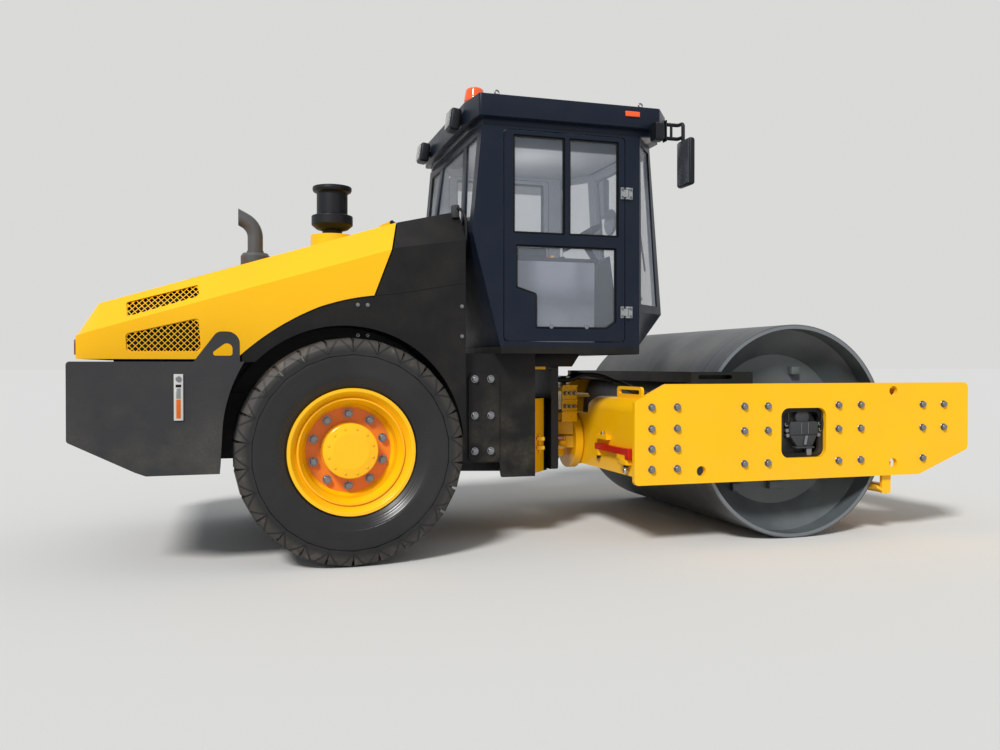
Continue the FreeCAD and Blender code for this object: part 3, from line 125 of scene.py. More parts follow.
class Finish:
    """A material whose nodes are written as expressions on Object coordinates."""

    def __init__(self, name, colour, roughness, metallic=0.0, coat=0.0, alpha=1.0):
        self.material = bpy.data.materials.new(name)
        self.material.use_nodes = True
        self.tree = self.material.node_tree
        self.shader = next(node for node in self.tree.nodes if node.type == "BSDF_PRINCIPLED")
        self.colour = (*colour, 1)
        self.set("Base Color", self.colour)
        self.set("Roughness", roughness)
        self.set("Metallic", metallic)
        self.set("Coat Weight", coat)
        self.set("Coat Roughness", 0.08)
        self.set("Alpha", alpha)
        self.place = self.node("ShaderNodeTexCoord", out="Object")
        self.x = self.node("ShaderNodeSeparateXYZ", {"Vector": self.place}, out="X")
        self.y = self.x.of("Y")
        self.z = self.x.of("Z")

    def node(self, kind, inputs=None, out=0, **settings):
        """Adds a node: its settings, then the values or links of its sockets. Gives one of its outputs."""
        node = self.tree.nodes.new(kind)
        for name, setting in settings.items():
            setattr(node, name, setting)
        for name, value in (inputs or {}).items():
            self.feed(self.input_of(node, name), value)
        return Value(self, self.output_of(node, out))

    @staticmethod
    def input_of(node, name):
        """A socket by its number, or the one in use of those that share a name."""
        return node.inputs[name] if isinstance(name, int) else next(
            socket for socket in node.inputs if socket.name == name and socket.enabled)

    @staticmethod
    def output_of(node, name):
        return node.outputs[name] if isinstance(name, int) else next(
            socket for socket in node.outputs if socket.name == name and socket.enabled)

    def feed(self, socket, value):
        if isinstance(value, Value):
            self.tree.links.new(value.socket, socket)
        else:
            socket.default_value = value

    def set(self, name, value):
        self.feed(self.shader.inputs[name], value)

    def painted(self):
        """The colour so far."""
        return Value(self, self.shader.inputs["Base Color"].links[0].from_socket)

    def over(self, mask, colour):
        """Paints another colour where the mask is 1."""
        self.set("Base Color", self.mix(mask, self.painted(), colour))

    def noise(self, scale, detail=3, stretch=None):
        place = self.place
        if stretch:
            place = self.node("ShaderNodeMapping", {"Vector": place, "Scale": stretch}, out="Vector")
        return self.node("ShaderNodeTexNoise", {"Vector": place, "Scale": scale, "Detail": detail}, out="Fac")

    def mix(self, mask, one, two):
        """The first colour where the mask is 0, the second where it is 1."""
        inputs = {"Factor": mask, "A": one, "B": two}
        return self.node("ShaderNodeMix", inputs, out="Result", data_type="RGBA")

    def bump(self, height, distance, strength=1.0):
        self.set(
            "Normal",
            self.node(
                "ShaderNodeBump", {"Height": height, "Distance": distance, "Strength": strength}, out="Normal"
            ),
        )

    def round_of(self, x, z):
        """Distance from an axle that lies along Y."""
        across = self.x - x
        up = self.z - z
        return (across * across + up * up) ** 0.5


def linear(red, green, blue):
    """A colour as the shaders take it, from how it looks, 0 to 255."""
    return tuple((value / 255 / 12.92 if value < 10 else ((value / 255 + 0.055) / 1.055) ** 2.4)
                 for value in (red, green, blue))


def rgba(red, green, blue):
    return (*linear(red, green, blue), 1)


DUST = rgba(150, 140, 122)
DUST_REACH = 1.2


def dusty(finish, most):
    """Road dust in patches, thicker near the ground."""
    patches = finish.noise(5.0, 6).ramp(0.42, 0.72)
    speckle = finish.noise(60.0, 3).ramp(0.35, 0.75)
    near_ground = 1 - finish.z.ramp(0.0, DUST_REACH)
    return patches * (speckle * 0.5 + 0.5) * (near_ground * most + most * 0.12)


def sprayed(name, colour, roughness, coat, dust=0.3, gloss=0.5):
    """Sprayed machine paint, with a faint ripple, uneven gloss and dust."""
    finish = Finish(name, colour, roughness, coat=coat)
    finish.set("Specular IOR Level", gloss)
    dirt = dusty(finish, dust)
    deeper = (*[channel * 0.94 for channel in colour], 1)
    shade = finish.mix(finish.noise(1.6, 4).ramp(0.3, 0.7), finish.colour, deeper)
    finish.set("Base Color", finish.mix(dirt, shade, DUST))
    finish.set("Roughness", finish.noise(9.0, 4).ramp(0.3, 0.7) * 0.08 + (roughness - 0.04) + dirt * 0.4)
    finish.bump(finish.noise(260.0, 2), 0.0002, 0.25)
    return finish


MACHINE_YELLOW = linear(253, 190, 8)
CAB_BLUE = linear(18, 27, 42)


def yellow_paint():
    return sprayed("yellow_paint", MACHINE_YELLOW, 0.34, 0.08, dust=0.12, gloss=0.28).material


def frame_paint():
    return sprayed("frame_paint", linear(23, 23, 24), 0.45, 0.0, dust=0.3, gloss=0.2).material


def cab_paint():
    """Blue-black cab paint, with the grey lining inside and bare hinge plates."""
    finish = sprayed("cab_paint", CAB_BLUE, 0.38, 0.0, dust=0.1, gloss=0.2)
    lining = finish.mix(finish.noise(7.0, 2), rgba(138, 141, 148), rgba(150, 153, 160))
    # The lining lies inside the rear wall's two slopes, and inside the nose and its slanting sides.
    rear = (finish.z * -0.2546 + (axle_x + 1.393)).math("MAXIMUM", finish.z * 0.0947 + (axle_x + 0.652))
    reach = (finish.z * -0.0807 + 0.4517).math("MINIMUM", finish.z * 0.975 - 1.2448)
    ahead = finish.x - (axle_x + 2.05)
    slanting = ahead * 0.3 + (finish.y.size() - 0.8) * reach
    lined = (finish.y.size() < 0.7605) * (finish.z > 1.36) * (finish.x > rear) * (slanting < -0.006)
    finish.over(lined * (ahead < reach - 0.012), lining)
    plate = (finish.x - (axle_x + 1.948)).size() < 0.05
    finish.over(plate * (finish.y.size() > 0.8003), rgba(140, 144, 146))
    return finish.material


def roof_paint():
    """The roof's paint, with the grey headliner below it inside the cab."""
    finish = sprayed("roof_paint", CAB_BLUE, 0.38, 0.0, dust=0.1, gloss=0.2)
    lined = (finish.z < 2.8403) * (finish.y.size() < 0.77) * finish.x.inside(axle_x + 0.93, axle_x + 2.2)
    finish.over(lined, rgba(176, 177, 178))
    return finish.material


def neck_paint():
    """Yellow cheeks and lugs on a black end plate."""
    finish = sprayed("neck_paint", MACHINE_YELLOW, 0.34, 0.08, dust=0.25, gloss=0.28)
    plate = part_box("pivot_pin")[0].x
    finish.over(finish.x.inside(plate - 0.15, plate - 0.05), rgba(20, 21, 23))
    return finish.material


def cast_weight():
    """Coarse dark grey paint over the cast counterweight."""
    finish = sprayed("cast_weight", linear(46, 47, 49), 0.62, 0.0, dust=0.25, gloss=0.3)
    finish.bump(finish.noise(90.0, 5) + finish.noise(14.0, 3) * 0.6, 0.0012, 0.5)
    return finish.material


def pipe_grey():
    """Heat-dulled paint of the exhaust, with rust under its mouth and a dark base panel."""
    finish = sprayed("pipe_grey", linear(78, 79, 81), 0.5, 0.0, dust=0.1)
    rust = finish.noise(26.0, 5).ramp(0.45, 0.7) * (1 - finish.x.ramp(axle_x - 0.62, axle_x - 0.54))
    finish.over(rust * (1 - finish.z.ramp(2.2, 2.27)), rgba(96, 58, 30))
    panel = finish.z < 2.0975 + (finish.x - axle_x) * 0.3147
    finish.over(panel, rgba(26, 27, 29))
    return finish.material


def drum_steel():
    """Rolled steel: a shell scratched along its travel, dusty heads, bright rims."""
    finish = Finish("drum_steel", linear(86, 92, 98), 0.42, metallic=0.7)
    radius = finish.round_of(drum_x, drum_z)
    shell = radius > 0.752
    rim = radius.inside(0.728, 0.752) * (finish.y.size() > 1.06)
    scratches = finish.noise(1.0, 6, stretch=(0.5, 90.0, 0.5))
    patches = finish.noise(3.0, 6).ramp(0.38, 0.68)
    worn = finish.mix(scratches.ramp(0.35, 0.7), rgba(66, 70, 77), rgba(112, 115, 120))
    worn = finish.mix(patches * 0.5, worn, rgba(120, 119, 115))
    head = finish.mix(patches, rgba(78, 85, 89), rgba(98, 105, 108))
    disc = radius < 0.55
    head = finish.mix(disc * 0.6, head, rgba(100, 107, 106))
    shade = finish.mix(shell, head, worn)
    finish.set("Base Color", finish.mix(rim, shade, rgba(122, 127, 132)))
    finish.set("Metallic", shell * 0.5 + rim * 0.4 + 0.1)
    finish.set("Roughness", scratches * 0.2 + 0.36 - rim * 0.12)
    finish.bump(scratches * shell + finish.noise(120.0, 4) * 0.3, 0.0006, 0.5)
    return finish.material


def tyre_rubber():
    """Glossy sidewalls with fine rings, and a duller tread with dirt between its blocks."""
    finish = Finish("tyre_rubber", linear(30, 31, 33), 0.35)
    radius = finish.round_of(axle_x, axle_z)
    tread = radius.ramp(0.615, 0.66)
    groove = 1 - radius.ramp(0.676, 0.692)
    film = finish.noise(3.0, 5).ramp(0.35, 0.7)
    rubber = finish.mix(film * 0.5, rgba(19, 20, 22), rgba(38, 38, 39))
    earthy = finish.mix(finish.noise(140.0, 4), rgba(66, 60, 54), rgba(96, 88, 79))
    clods = finish.noise(17.0, 6).ramp(0.52, 0.66) * finish.noise(2.3, 3).ramp(0.45, 0.6)
    finish.set("Base Color", finish.mix(tread * (clods * 0.8 + groove * 0.35), rubber, earthy))
    finish.set("Roughness", tread * 0.32 + film * 0.12 + 0.22)
    # Slanting grooves that meet on the shoulder, twice to a block, painted near-black as the shade inside
    # them.
    grooves = 26
    turn = (finish.z - axle_z).math("ARCTAN2", finish.x - axle_x) * (grooves / math.pi / 2)
    inwards = (radius * -1 + 0.7) * 5.4
    zigzag = ((turn + inwards).math("PINGPONG", 0.5) < 0.045).math(
        "MAXIMUM", (turn - inwards).math("PINGPONG", 0.5) < 0.045) * radius.inside(0.607, 0.69)
    finish.over(zigzag, rgba(12, 12, 13))
    rings = ((radius * 520).math("SINE") * radius.inside(0.42, 0.47)
             + (radius * 300).math("SINE") * radius.inside(0.50, 0.515)
             + (radius * 300).math("SINE") * radius.inside(0.565, 0.58))
    finish.bump(rings * 0.4 + finish.noise(220.0, 4) * (tread * 0.8 + 0.15) - zigzag * 3, 0.0012, 0.6)
    return finish.material


def rim_paint():
    """Glossy yellow rim, with painted orange shade on the recessed disc behind the nuts and in the gutter."""
    finish = sprayed("rim_paint", MACHINE_YELLOW, 0.24, 0.2, dust=0.12, gloss=0.35)
    radius = finish.round_of(axle_x, axle_z)
    disc_shade = radius.inside(0.173, 0.29) * (finish.y.size() < wheel_y + 0.0605)
    gutter_shade = radius.inside(0.318, 0.349) * (finish.y.size() > wheel_y)
    # Painted shade: orange on the recessed disc and in the gutter, where shadow falls on the yellow.
    finish.over(disc_shade * 0.85, rgba(228, 108, 10))
    finish.over(gutter_shade * 0.2, rgba(214, 120, 8))
    return finish.material


def plain(name, colour, roughness, metallic=0.0, grain=300.0, height=0.0002):
    """A moulded or machined finish with a fine grain."""
    finish = Finish(name, colour, roughness, metallic=metallic)
    finish.set("Specular IOR Level", 0.28)
    tone = finish.noise(7.0, 5).ramp(0.3, 0.7)
    finish.set("Base Color", finish.mix(tone, finish.colour, (*[channel * 0.86 for channel in colour], 1)))
    finish.set("Roughness", tone * 0.1 + (roughness - 0.05))
    finish.bump(finish.noise(grain, 3), height, 0.15)
    return finish.material


def safety_glass():
    """Tinted panes: mostly clear, darker in a band along the top."""
    finish = Finish("safety_glass", linear(150, 158, 170), 0.03, alpha=0.2)
    band = finish.z.ramp(2.695, 2.705) * (finish.y.size() > 0.77)
    film = finish.noise(2.2, 4).ramp(0.4, 0.8)
    finish.set("Base Color", finish.mix(band, finish.colour, rgba(52, 62, 74)))
    finish.set("Alpha", film * 0.05 + 0.2 + band * 0.35)
    finish.set("Roughness", film * 0.05 + 0.02)
    return finish.material


def lens(name, colour, lines):
    """A moulded lens with fine ribs."""
    finish = Finish(name, colour, 0.14, coat=0.6)
    ribs = (finish.z * lines).math("SINE")
    finish.set("Base Color", finish.mix(ribs.ramp(-1, 1) * 0.35, finish.colour,
                                        (*[channel * 0.6 for channel in colour], 1)))
    finish.bump(ribs, 0.001, 0.4)
    return finish.material


def woven(name, colour):
    """Seat cloth: a fine twill with soft mottling."""
    finish = Finish(name, colour, 0.85)
    thread = ((finish.x + finish.y) * 1500).math("SINE") * ((finish.y - finish.z) * 1500).math("SINE")
    tone = finish.noise(16.0, 4).ramp(0.3, 0.7)
    paler = (*[channel * 1.5 + 0.004 for channel in colour], 1)
    finish.set("Base Color", finish.mix(tone, finish.colour, paler))
    finish.set("Roughness", tone * 0.08 + 0.82)
    finish.bump(thread * 0.5 + finish.noise(420.0, 3), 0.0007, 0.5)
    return finish.material


def red_paint():
    return sprayed("red_paint", linear(196, 16, 10), 0.32, 0.3, dust=0.15).material


YELLOW = yellow_paint()
BLACK = frame_paint()
CAB = cab_paint()
ROOF = roof_paint()
NECK = neck_paint()
WEIGHT = cast_weight()
PIPE = pipe_grey()
DRUM = drum_steel()
RUBBER = tyre_rubber()
RIM = rim_paint()
RED = red_paint()
PLASTIC = plain("black_plastic", linear(20, 23, 30), 0.45, grain=420.0, height=0.0002)
SEAL = plain("seal_rubber", linear(20, 20, 21), 0.6)
ZINC = plain("zinc_plate", linear(144, 146, 151), 0.26, metallic=0.9)
STEEL = plain("bare_steel", linear(150, 151, 152), 0.3, metallic=0.9)
CHROME = plain("chrome_rod", linear(205, 206, 208), 0.12, metallic=1.0)
IRON = plain("engine_iron", linear(66, 68, 70), 0.6, metallic=0.3, grain=120.0, height=0.001)
GLASS = safety_glass()
AMBER = lens("amber_lens", linear(255, 88, 14), 500.0)
TAIL_RED = lens("tail_lens", linear(112, 34, 18), 700.0)
LAMP_GLASS = lens("lamp_glass", linear(128, 130, 130), 900.0)
CLOTH = woven("seat_cloth", linear(44, 46, 50))
VOID = plain("mesh_backing", linear(12, 12, 13), 0.8)
ORANGE = plain("orange_plastic", linear(206, 98, 20), 0.4)
HOSE = plain("hose_rubber", linear(26, 27, 28), 0.5, grain=180.0, height=0.0006)
MIRROR_GLASS = plain("mirror_glass", linear(96, 100, 108), 0.2, metallic=0.6, height=0.0)
LILAC = plain("console_grey", linear(172, 173, 186), 0.5)
WHITE = plain("white_knob", linear(236, 236, 234), 0.3)
PALE_PLASTIC = plain("pale_plastic", linear(196, 196, 193), 0.4)

# The slot that goes with each finish.
FINISHES_OF = {
    "yellow_paint": (YELLOW, RIM), "black_paint": (BLACK,), "cab_paint": (CAB, ROOF), "red_paint": (RED,),
    "grey_paint": (PALE_PLASTIC, WHITE), "drum_steel": (DRUM,), "bare_steel": (ZINC,), "engine_iron": (IRON,),
    "black_plastic": (PLASTIC, SEAL, VOID, HOSE, LILAC), "glass": (GLASS, LAMP_GLASS, MIRROR_GLASS),
    "amber_lens": (AMBER, TAIL_RED, ORANGE), "seat_fabric": (CLOTH,), "chrome_rod": (CHROME,),
}
SLOT_OF = {finish.name: slot for slot, finishes in FINISHES_OF.items() for finish in finishes}

# The CAD nodes' finishes, by their slots or by their own names.
SLOT_FINISH = {
    "yellow_paint": YELLOW, "black_paint": BLACK, "cab_paint": CAB, "grey_paint": WEIGHT, "red_paint": RED,
    "drum_steel": DRUM, "bare_steel": STEEL, "engine_iron": IRON, "tyre": RUBBER, "black_plastic": PLASTIC,
    "glass": GLASS, "amber_lens": AMBER, "seat_fabric": CLOTH, "chrome_rod": CHROME,
}
NODE_FINISH = {
    "frame_neck": NECK, "cab_roof": ROOF, "exhaust": PIPE, "rim_right": RIM, "rim_left": RIM,
    "hub_right": RIM, "hub_left": RIM,
}
for entry in frame["record"]["subparts"]:
    node = frame["nodes"][entry["node"]]
    finish = NODE_FINISH.get(entry["node"], SLOT_FINISH[entry["material_slot"]])
    node.data.materials.clear()
    node.data.materials.append(finish)


# Making pieces


def deselect():
    bpy.ops.object.select_all(action="DESELECT")


def choose(*pieces):
    deselect()
    for piece in pieces:
        piece.select_set(True)
    bpy.context.view_layer.objects.active = pieces[0]


def place_applied(piece):
    choose(piece)
    bpy.ops.object.transform_apply(location=True, rotation=True, scale=True)
    return piece


def cuboid(low, high):
    """A block between two corners, to be shaped."""
    deselect()
    middle = [(a + b) / 2 for a, b in zip(low, high)]
    bpy.ops.mesh.primitive_cube_add(size=1, location=middle)
    block = bpy.context.object
    block.scale = [b - a for a, b in zip(low, high)]
    return place_applied(block)


TURNS = {"+x": (0, math.pi / 2, 0), "-x": (0, -math.pi / 2, 0), "+y": (-math.pi / 2, 0, 0),
         "-y": (math.pi / 2, 0, 0), "+z": (0, 0, 0), "-z": (math.pi, 0, 0)}


def barrel(base, towards, radius, length, sides=24):
    """A round from its base along an axis, to be shaped."""
    deselect()
    middle = (0, 0, length / 2)
    bpy.ops.mesh.primitive_cylinder_add(vertices=sides, radius=radius, depth=length, location=middle)
    round_piece = place_applied(bpy.context.object)
    round_piece.rotation_euler = TURNS[towards]
    round_piece.location = base
    return place_applied(round_piece)


def pick_faces(piece, wanted):
    """Goes into edit mode with the wanted faces selected, by their middle and normal."""
    choose(piece)
    bpy.ops.object.mode_set(mode="EDIT")
    bpy.ops.mesh.select_mode(type="FACE")
    bpy.ops.mesh.select_all(action="DESELECT")
    bpy.ops.object.mode_set(mode="OBJECT")
    for face in piece.data.polygons:
        face.select = bool(wanted(face.center, face.normal))
    bpy.ops.object.mode_set(mode="EDIT")


def done():
    bpy.ops.object.mode_set(mode="OBJECT")


def softened(piece, width, segments=2):
    """Rounds a piece's edges with an applied bevel, and shades it smooth."""
    choose(piece)
    bevel = piece.modifiers.new("Bevel", "BEVEL")
    bevel.width = width
    bevel.segments = segments
    bevel.limit_method = "ANGLE"
    bevel.angle_limit = math.radians(35)
    bpy.ops.object.modifier_apply(modifier=bevel.name)
    bpy.ops.object.shade_smooth_by_angle(angle=math.radians(40))
    return piece


def block(low, high, radius=0.003, segments=2):
    """A block with rounded edges."""
    return softened(cuboid(low, high), radius, segments)


def pick_points(piece, wanted):
    """Goes into edit mode with the wanted points selected, by their place."""
    choose(piece)
    bpy.ops.object.mode_set(mode="EDIT")
    bpy.ops.mesh.select_mode(type="VERT")
    bpy.ops.mesh.select_all(action="DESELECT")
    bpy.ops.object.mode_set(mode="OBJECT")
    for point in piece.data.vertices:
        point.select = bool(wanted(point.co))
    bpy.ops.object.mode_set(mode="EDIT")


def shifted(piece, wanted, shift):
    """Moves the wanted points of a piece."""
    pick_points(piece, wanted)
    bpy.ops.transform.translate(value=shift)
    done()
    return piece


def turned(piece, angle, axis, centre):
    """Turns a piece about a line, in radians."""
    choose(piece)
    bpy.ops.transform.rotate(value=angle, orient_axis=axis, center_override=centre)
    return place_applied(piece)


def tube(points, radius, sides=3):
    """A round tube along a smooth route between two ends."""
    deselect()
    bpy.ops.curve.primitive_nurbs_path_add(location=(0, 0, 0))
    path = bpy.context.object
    path.data.splines.clear()
    spline = path.data.splines.new("NURBS")
    spline.points.add(len(points) - 1)
    for point, place in zip(spline.points, points):
        point.co = (*place, 1)
    spline.order_u = 3
    spline.use_endpoint_u = True
    spline.resolution_u = 6
    path.data.bevel_depth = radius
    path.data.bevel_resolution = sides
    path.data.use_fill_caps = True
    bpy.ops.object.convert(target="MESH")
    pipe = bpy.context.object
    bpy.ops.object.shade_smooth_by_angle(angle=math.radians(50))
    return pipe


def ring(centre, towards, radius, thickness):
    """A torus that lies across an axis."""
    deselect()
    bpy.ops.mesh.primitive_torus_add(major_radius=radius, minor_radius=thickness, major_segments=24,
                                     minor_segments=10)
    loop = place_applied(bpy.context.object)
    bpy.ops.object.shade_smooth()
    loop.rotation_euler = TURNS[towards]
    loop.location = centre
    return place_applied(loop)


def joined(name, pieces):
    """Several pieces as one mesh."""
    choose(*pieces)
    if len(pieces) > 1:
        bpy.ops.object.join()
    pieces[0].name = name
    pieces[0].data.name = name
    return pieces[0]


def copied(model, places):
    """Copies of a model at the places, each with its own mesh. The model is used up."""
    copies = []
    for place in places:
        copy = model.copy()
        copy.data = model.data.copy()
        bpy.context.scene.collection.objects.link(copy)
        copy.location = place
        copies.append(place_applied(copy))
    bpy.data.objects.remove(model)
    return copies


def finished(piece, finish):
    """Gives a piece its material."""
    piece.data.materials.clear()
    piece.data.materials.append(finish)
    return piece


def mounted(name, pieces, body, finish):
    """Joins pieces into one, finishes it and lets it ride on a body."""
    piece = finished(joined(name, pieces), finish)
    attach(piece, body)
    return piece


WASHER_WALL = 0.004


def hex_bolt(side, corner, height, washer):
    """A washer, a hexagon head and a chamfered top at the origin, facing out on a side."""
    towards, axis = outwards(side), Vector((0, side, 0))
    under = softened(barrel((0, 0, 0), towards, washer, WASHER_WALL, 24), 0.0008, 1)
    head = barrel(axis * WASHER_WALL, towards, corner, height, 6)
    pick_faces(head, lambda centre, normal: normal.dot(axis) > 0.9)
    bpy.ops.mesh.inset(thickness=corner * 0.12, depth=corner * 0.08)
    done()
    return joined("bolt", [softened(head, 0.0012, 1), under])


def outwards(side):
    return "+y" if side > 0 else "-y"


def hexahedron(corners):
    """A block whose eight corners are given, ordered by x, then y, then z."""
    piece = cuboid((-1, -1, -11), (1, 1, -9))
    starts = [Vector((x, y, z)) for x in (-1, 1) for y in (-1, 1) for z in (-11, -9)]
    for start, place in zip(starts, corners):
        shifted(piece, lambda co: (co - start).length < 0.1, Vector(place) - start)
    pick_faces(piece, lambda centre, normal: True)
    bpy.ops.mesh.normals_make_consistent(inside=False)
    done()
    return piece


def taken(node):
    """A CAD node's shape as a new piece, its points merged and its flat faces whole."""
    source = frame["nodes"][node]
    piece = source.copy()
    piece.data = source.data.copy()
    piece.modifiers.clear()
    bpy.context.scene.collection.objects.link(piece)
    piece.parent = None
    pick_faces(piece, lambda centre, normal: True)
    bpy.ops.mesh.remove_doubles(threshold=0.00001)
    bpy.ops.mesh.dissolve_limited(angle_limit=0.02)
    done()
    return piece


def cut_out(piece, cutters):
    """Takes the cutters' room out of a piece. The cutters are used up."""
    for cutter in cutters:
        cut = piece.modifiers.new("Cut", "BOOLEAN")
        cut.operation = "DIFFERENCE"
        cut.object = cutter
        choose(piece)
        bpy.ops.object.modifier_apply(modifier=cut.name)
        bpy.data.objects.remove(cutter)
    return piece


# Studio


PALE_BACKDROP = (0.70, 0.70, 0.69, 1)
PALE_FLOOR = (0.673, 0.673, 0.665, 1)


def studio():
    """A pale floor and backdrop, a soft sun, a lamp in the cab and the camera."""
    deselect()
    bpy.ops.mesh.primitive_plane_add(size=600, location=(0, 0, -0.0005))
    floor = bpy.context.object
    floor.name = "studio_floor"
    pale = bpy.data.materials.new("studio_floor")
    pale.use_nodes = True
    shader = next(node for node in pale.node_tree.nodes if node.type == "BSDF_PRINCIPLED")
    shader.inputs["Base Color"].default_value = PALE_FLOOR
    shader.inputs["Roughness"].default_value = 0.9
    shader.inputs["Specular IOR Level"].default_value = 0.0
    floor.data.materials.append(pale)

    world = bpy.data.worlds.new("studio_sky")
    world.use_nodes = True
    bpy.context.scene.world = world
    nodes, links = world.node_tree.nodes, world.node_tree.links
    sky = nodes["Background"]
    sky.inputs["Color"].default_value = (0.93, 0.97, 1.0, 1)
    sky.inputs["Strength"].default_value = 0.5
    shown = nodes.new("ShaderNodeBackground")
    shown.inputs["Color"].default_value = PALE_BACKDROP
    path = nodes.new("ShaderNodeLightPath")
    seen = path.outputs["Is Camera Ray"]
    for ray in ("Is Glossy Ray", "Is Transmission Ray"):
        more = nodes.new("ShaderNodeMath")
        more.operation = "MAXIMUM"
        links.new(seen, more.inputs[0])
        links.new(path.outputs[ray], more.inputs[1])
        seen = more.outputs[0]
    either = nodes.new("ShaderNodeMixShader")
    links.new(seen, either.inputs["Fac"])
    links.new(sky.outputs[0], either.inputs[1])
    links.new(shown.outputs[0], either.inputs[2])
    links.new(either.outputs[0], nodes["World Output"].inputs["Surface"])

    key_place = (-4.5, -6.0, 6.6)
    deselect()
    bpy.ops.object.light_add(type="SUN", location=key_place)
    key_lamp = bpy.context.object
    key_lamp.name = "key_lamp"
    key_lamp.data.angle = math.radians(12)
    key_lamp.data.energy = 2.9
    key_lamp.data.color = (1.0, 0.98, 0.95)
    key_lamp.rotation_euler = (-Vector(key_place)).to_track_quat("-Z", "Y").to_euler()
    deselect()
    bpy.ops.object.light_add(type="POINT", location=(axle_x + 1.5, 0, 2.45))
    cab_lamp = bpy.context.object
    cab_lamp.name = "cab_lamp"
    cab_lamp.data.energy = 9
    cab_lamp.data.shadow_soft_size = 0.25
    cab_lamp.visible_camera = False
    cab_lamp.visible_glossy = False

    deselect()
    bpy.ops.object.camera_add(
        location=(axle_x - 0.716, -6.543, 1.225),
        rotation=(math.radians(89.42), 0, math.radians(-16.86)),
    )
    camera = bpy.context.object
    camera.data.sensor_width = 36
    camera.data.lens = 32.17
    camera.data.clip_end = 400
    bpy.context.scene.camera = camera
    bpy.context.scene.view_settings.view_transform = "Standard"


studio()


# Bolts and nuts: the radius to the head's corners, the head's height and the washer's radius.
PLATE_BOLT = (0.021, 0.018, 0.0265)
SMALL_BOLT = (0.009, 0.007, 0.013)
WHEEL_NUT = (0.0235, 0.03, 0.029)
CAP_BOLT = (0.0085, 0.007, 0.011)
HINGE_BOLT = (0.0065, 0.005, 0.009)

# Front frame: bolts of the side plates.
PLATE_BOLTS = [(axle_x + x, z) for x in (1.973, 2.1615) for z in (0.949, 0.806, 0.672, 0.535)]
PLATE_BOLTS += [(axle_x + x, z) for x in (2.6755, 2.861, 3.439, 3.6275) for z in (0.9475, 0.7785, 0.552)]
PLATE_BOLTS += [(axle_x + x, z) for x in (4.1685, 4.3585) for z in (0.9435, 0.773)]
PLATE_BOLTS.append((axle_x + 4.17, 0.549))
for side_name, side in SIDES:
    bolts = copied(hex_bolt(side, *PLATE_BOLT), [(x, side * plate_out, z) for x, z in PLATE_BOLTS])
    mounted("plate_bolts_" + side_name, bolts, "front_frame", ZINC)

# Rear frame: bolts of the saddle's plates and of the cowl.
saddle_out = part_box("cab_saddle")[1].y
cowl_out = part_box("cowl")[1].y
for side_name, side in SIDES:
    places = [(axle_x + x, side * saddle_out, z) for x in (0.8885, 1.0015) for z in (1.136, 0.886, 0.6425)]
    bolts = copied(hex_bolt(side, *PLATE_BOLT), places)
    places = [(axle_x + 0.774, side * cowl_out, z) for z in (1.623, 1.423)]
    small = copied(hex_bolt(side, *SMALL_BOLT), places)
    mounted("saddle_bolts_" + side_name, bolts + small, "rear_frame", ZINC)

# Wheels: nuts over the studs, small bolts round the hub cap.
stud_circle, disc_y = 0.227, wheel_y + 0.060
cap_circle, cap_y = 0.14, -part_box("hub_right")[0].y - 0.0115


def round_axle(count, radius, y):
    """Places in a circle round the wheels' axle, half a pitch from level."""
    turns = [2 * math.pi * (i + 0.5) / count for i in range(count)]
    return [(axle_x + radius * math.cos(turn), y, axle_z + radius * math.sin(turn)) for turn in turns]


for side_name, side in SIDES:
    nuts = copied(hex_bolt(side, *WHEEL_NUT), round_axle(10, stud_circle, side * disc_y))
    mounted("wheel_nuts_" + side_name, nuts, "wheel_" + side_name, ZINC)
    cap = copied(hex_bolt(side, *CAP_BOLT), round_axle(12, cap_circle, side * cap_y))
    mounted("hub_bolts_" + side_name, cap, "wheel_" + side_name, RIM)

# Wheelhouse: bolts of its inner wall, and the black bead under the cowl.
wall_out = 0.453
for side_name, side in SIDES:
    places = [(axle_x + x, side * wall_out, z) for x, z in ((0.121, 1.434), (0.188, 1.434), (-0.450, 1.434))]
    inner = copied(hex_bolt(side, *SMALL_BOLT), places)
    places = [(axle_x + x, side * cowl_out, 1.62) for x in (0.08, 0.144)]
    outer = copied(hex_bolt(side, *SMALL_BOLT), places)
    mounted("arch_bolts_" + side_name, inner + outer, "rear_frame", ZINC)
    edge = ((0.197, 1.6845), (0.373, 1.7055), (0.6, 1.7480), (0.798, 1.785))
    bead = tube([(axle_x + x, side * cowl_out, z) for x, z in edge], 0.0035)
    mounted("cowl_bead_" + side_name, [bead], "rear_frame", SEAL)

# Hood: near-black sheets behind the meshes as painted shade of the space behind them, tail lamps and a latch.
LOW_SCREEN = ((-1.34, 1.29), (-0.86, 1.55))
for side_name, side in SIDES:
    (rear, low), (front, high) = LOW_SCREEN
    screen = cuboid((axle_x + rear, side * 0.724 - 0.002, low), (axle_x + front, side * 0.724 + 0.002, high))
    shifted(screen, lambda co: co.z > low + 0.1 and co.x < axle_x - 1.1, (0, 0, -0.10))
    leaning = cuboid((-0.25, -0.002, -0.115), (0.25, 0.002, 0.115))
    leaning.rotation_euler = (side * math.radians(48.7), math.radians(-13.0), 0)
    leaning.location = (axle_x - 1.104, side * 0.634, 1.604)
    mounted("dust_screen_" + side_name, [screen, place_applied(leaning)], "hood", VOID)
    lamp_y = side * 0.655
    lamp_rear, lamp_front = hood_rear - 0.014, hood_rear + 0.004
    lamp = block((lamp_rear, lamp_y - 0.07, 1.29), (lamp_front, lamp_y + 0.07, 1.385), 0.008, 3)
    mounted("tail_lamp_" + side_name, [lamp], "hood", TAIL_RED)
latch = block((hood_rear - 0.012, -0.06, 1.335), (hood_rear + 0.004, 0.06, 1.385), 0.006)
mounted("hood_latch", [latch], "hood", PLASTIC)

# Counterweight: the oil gauge in its pale frame, on the right.
gauge_x = axle_x - 0.997
weight_out = -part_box("counterweight")[0].y


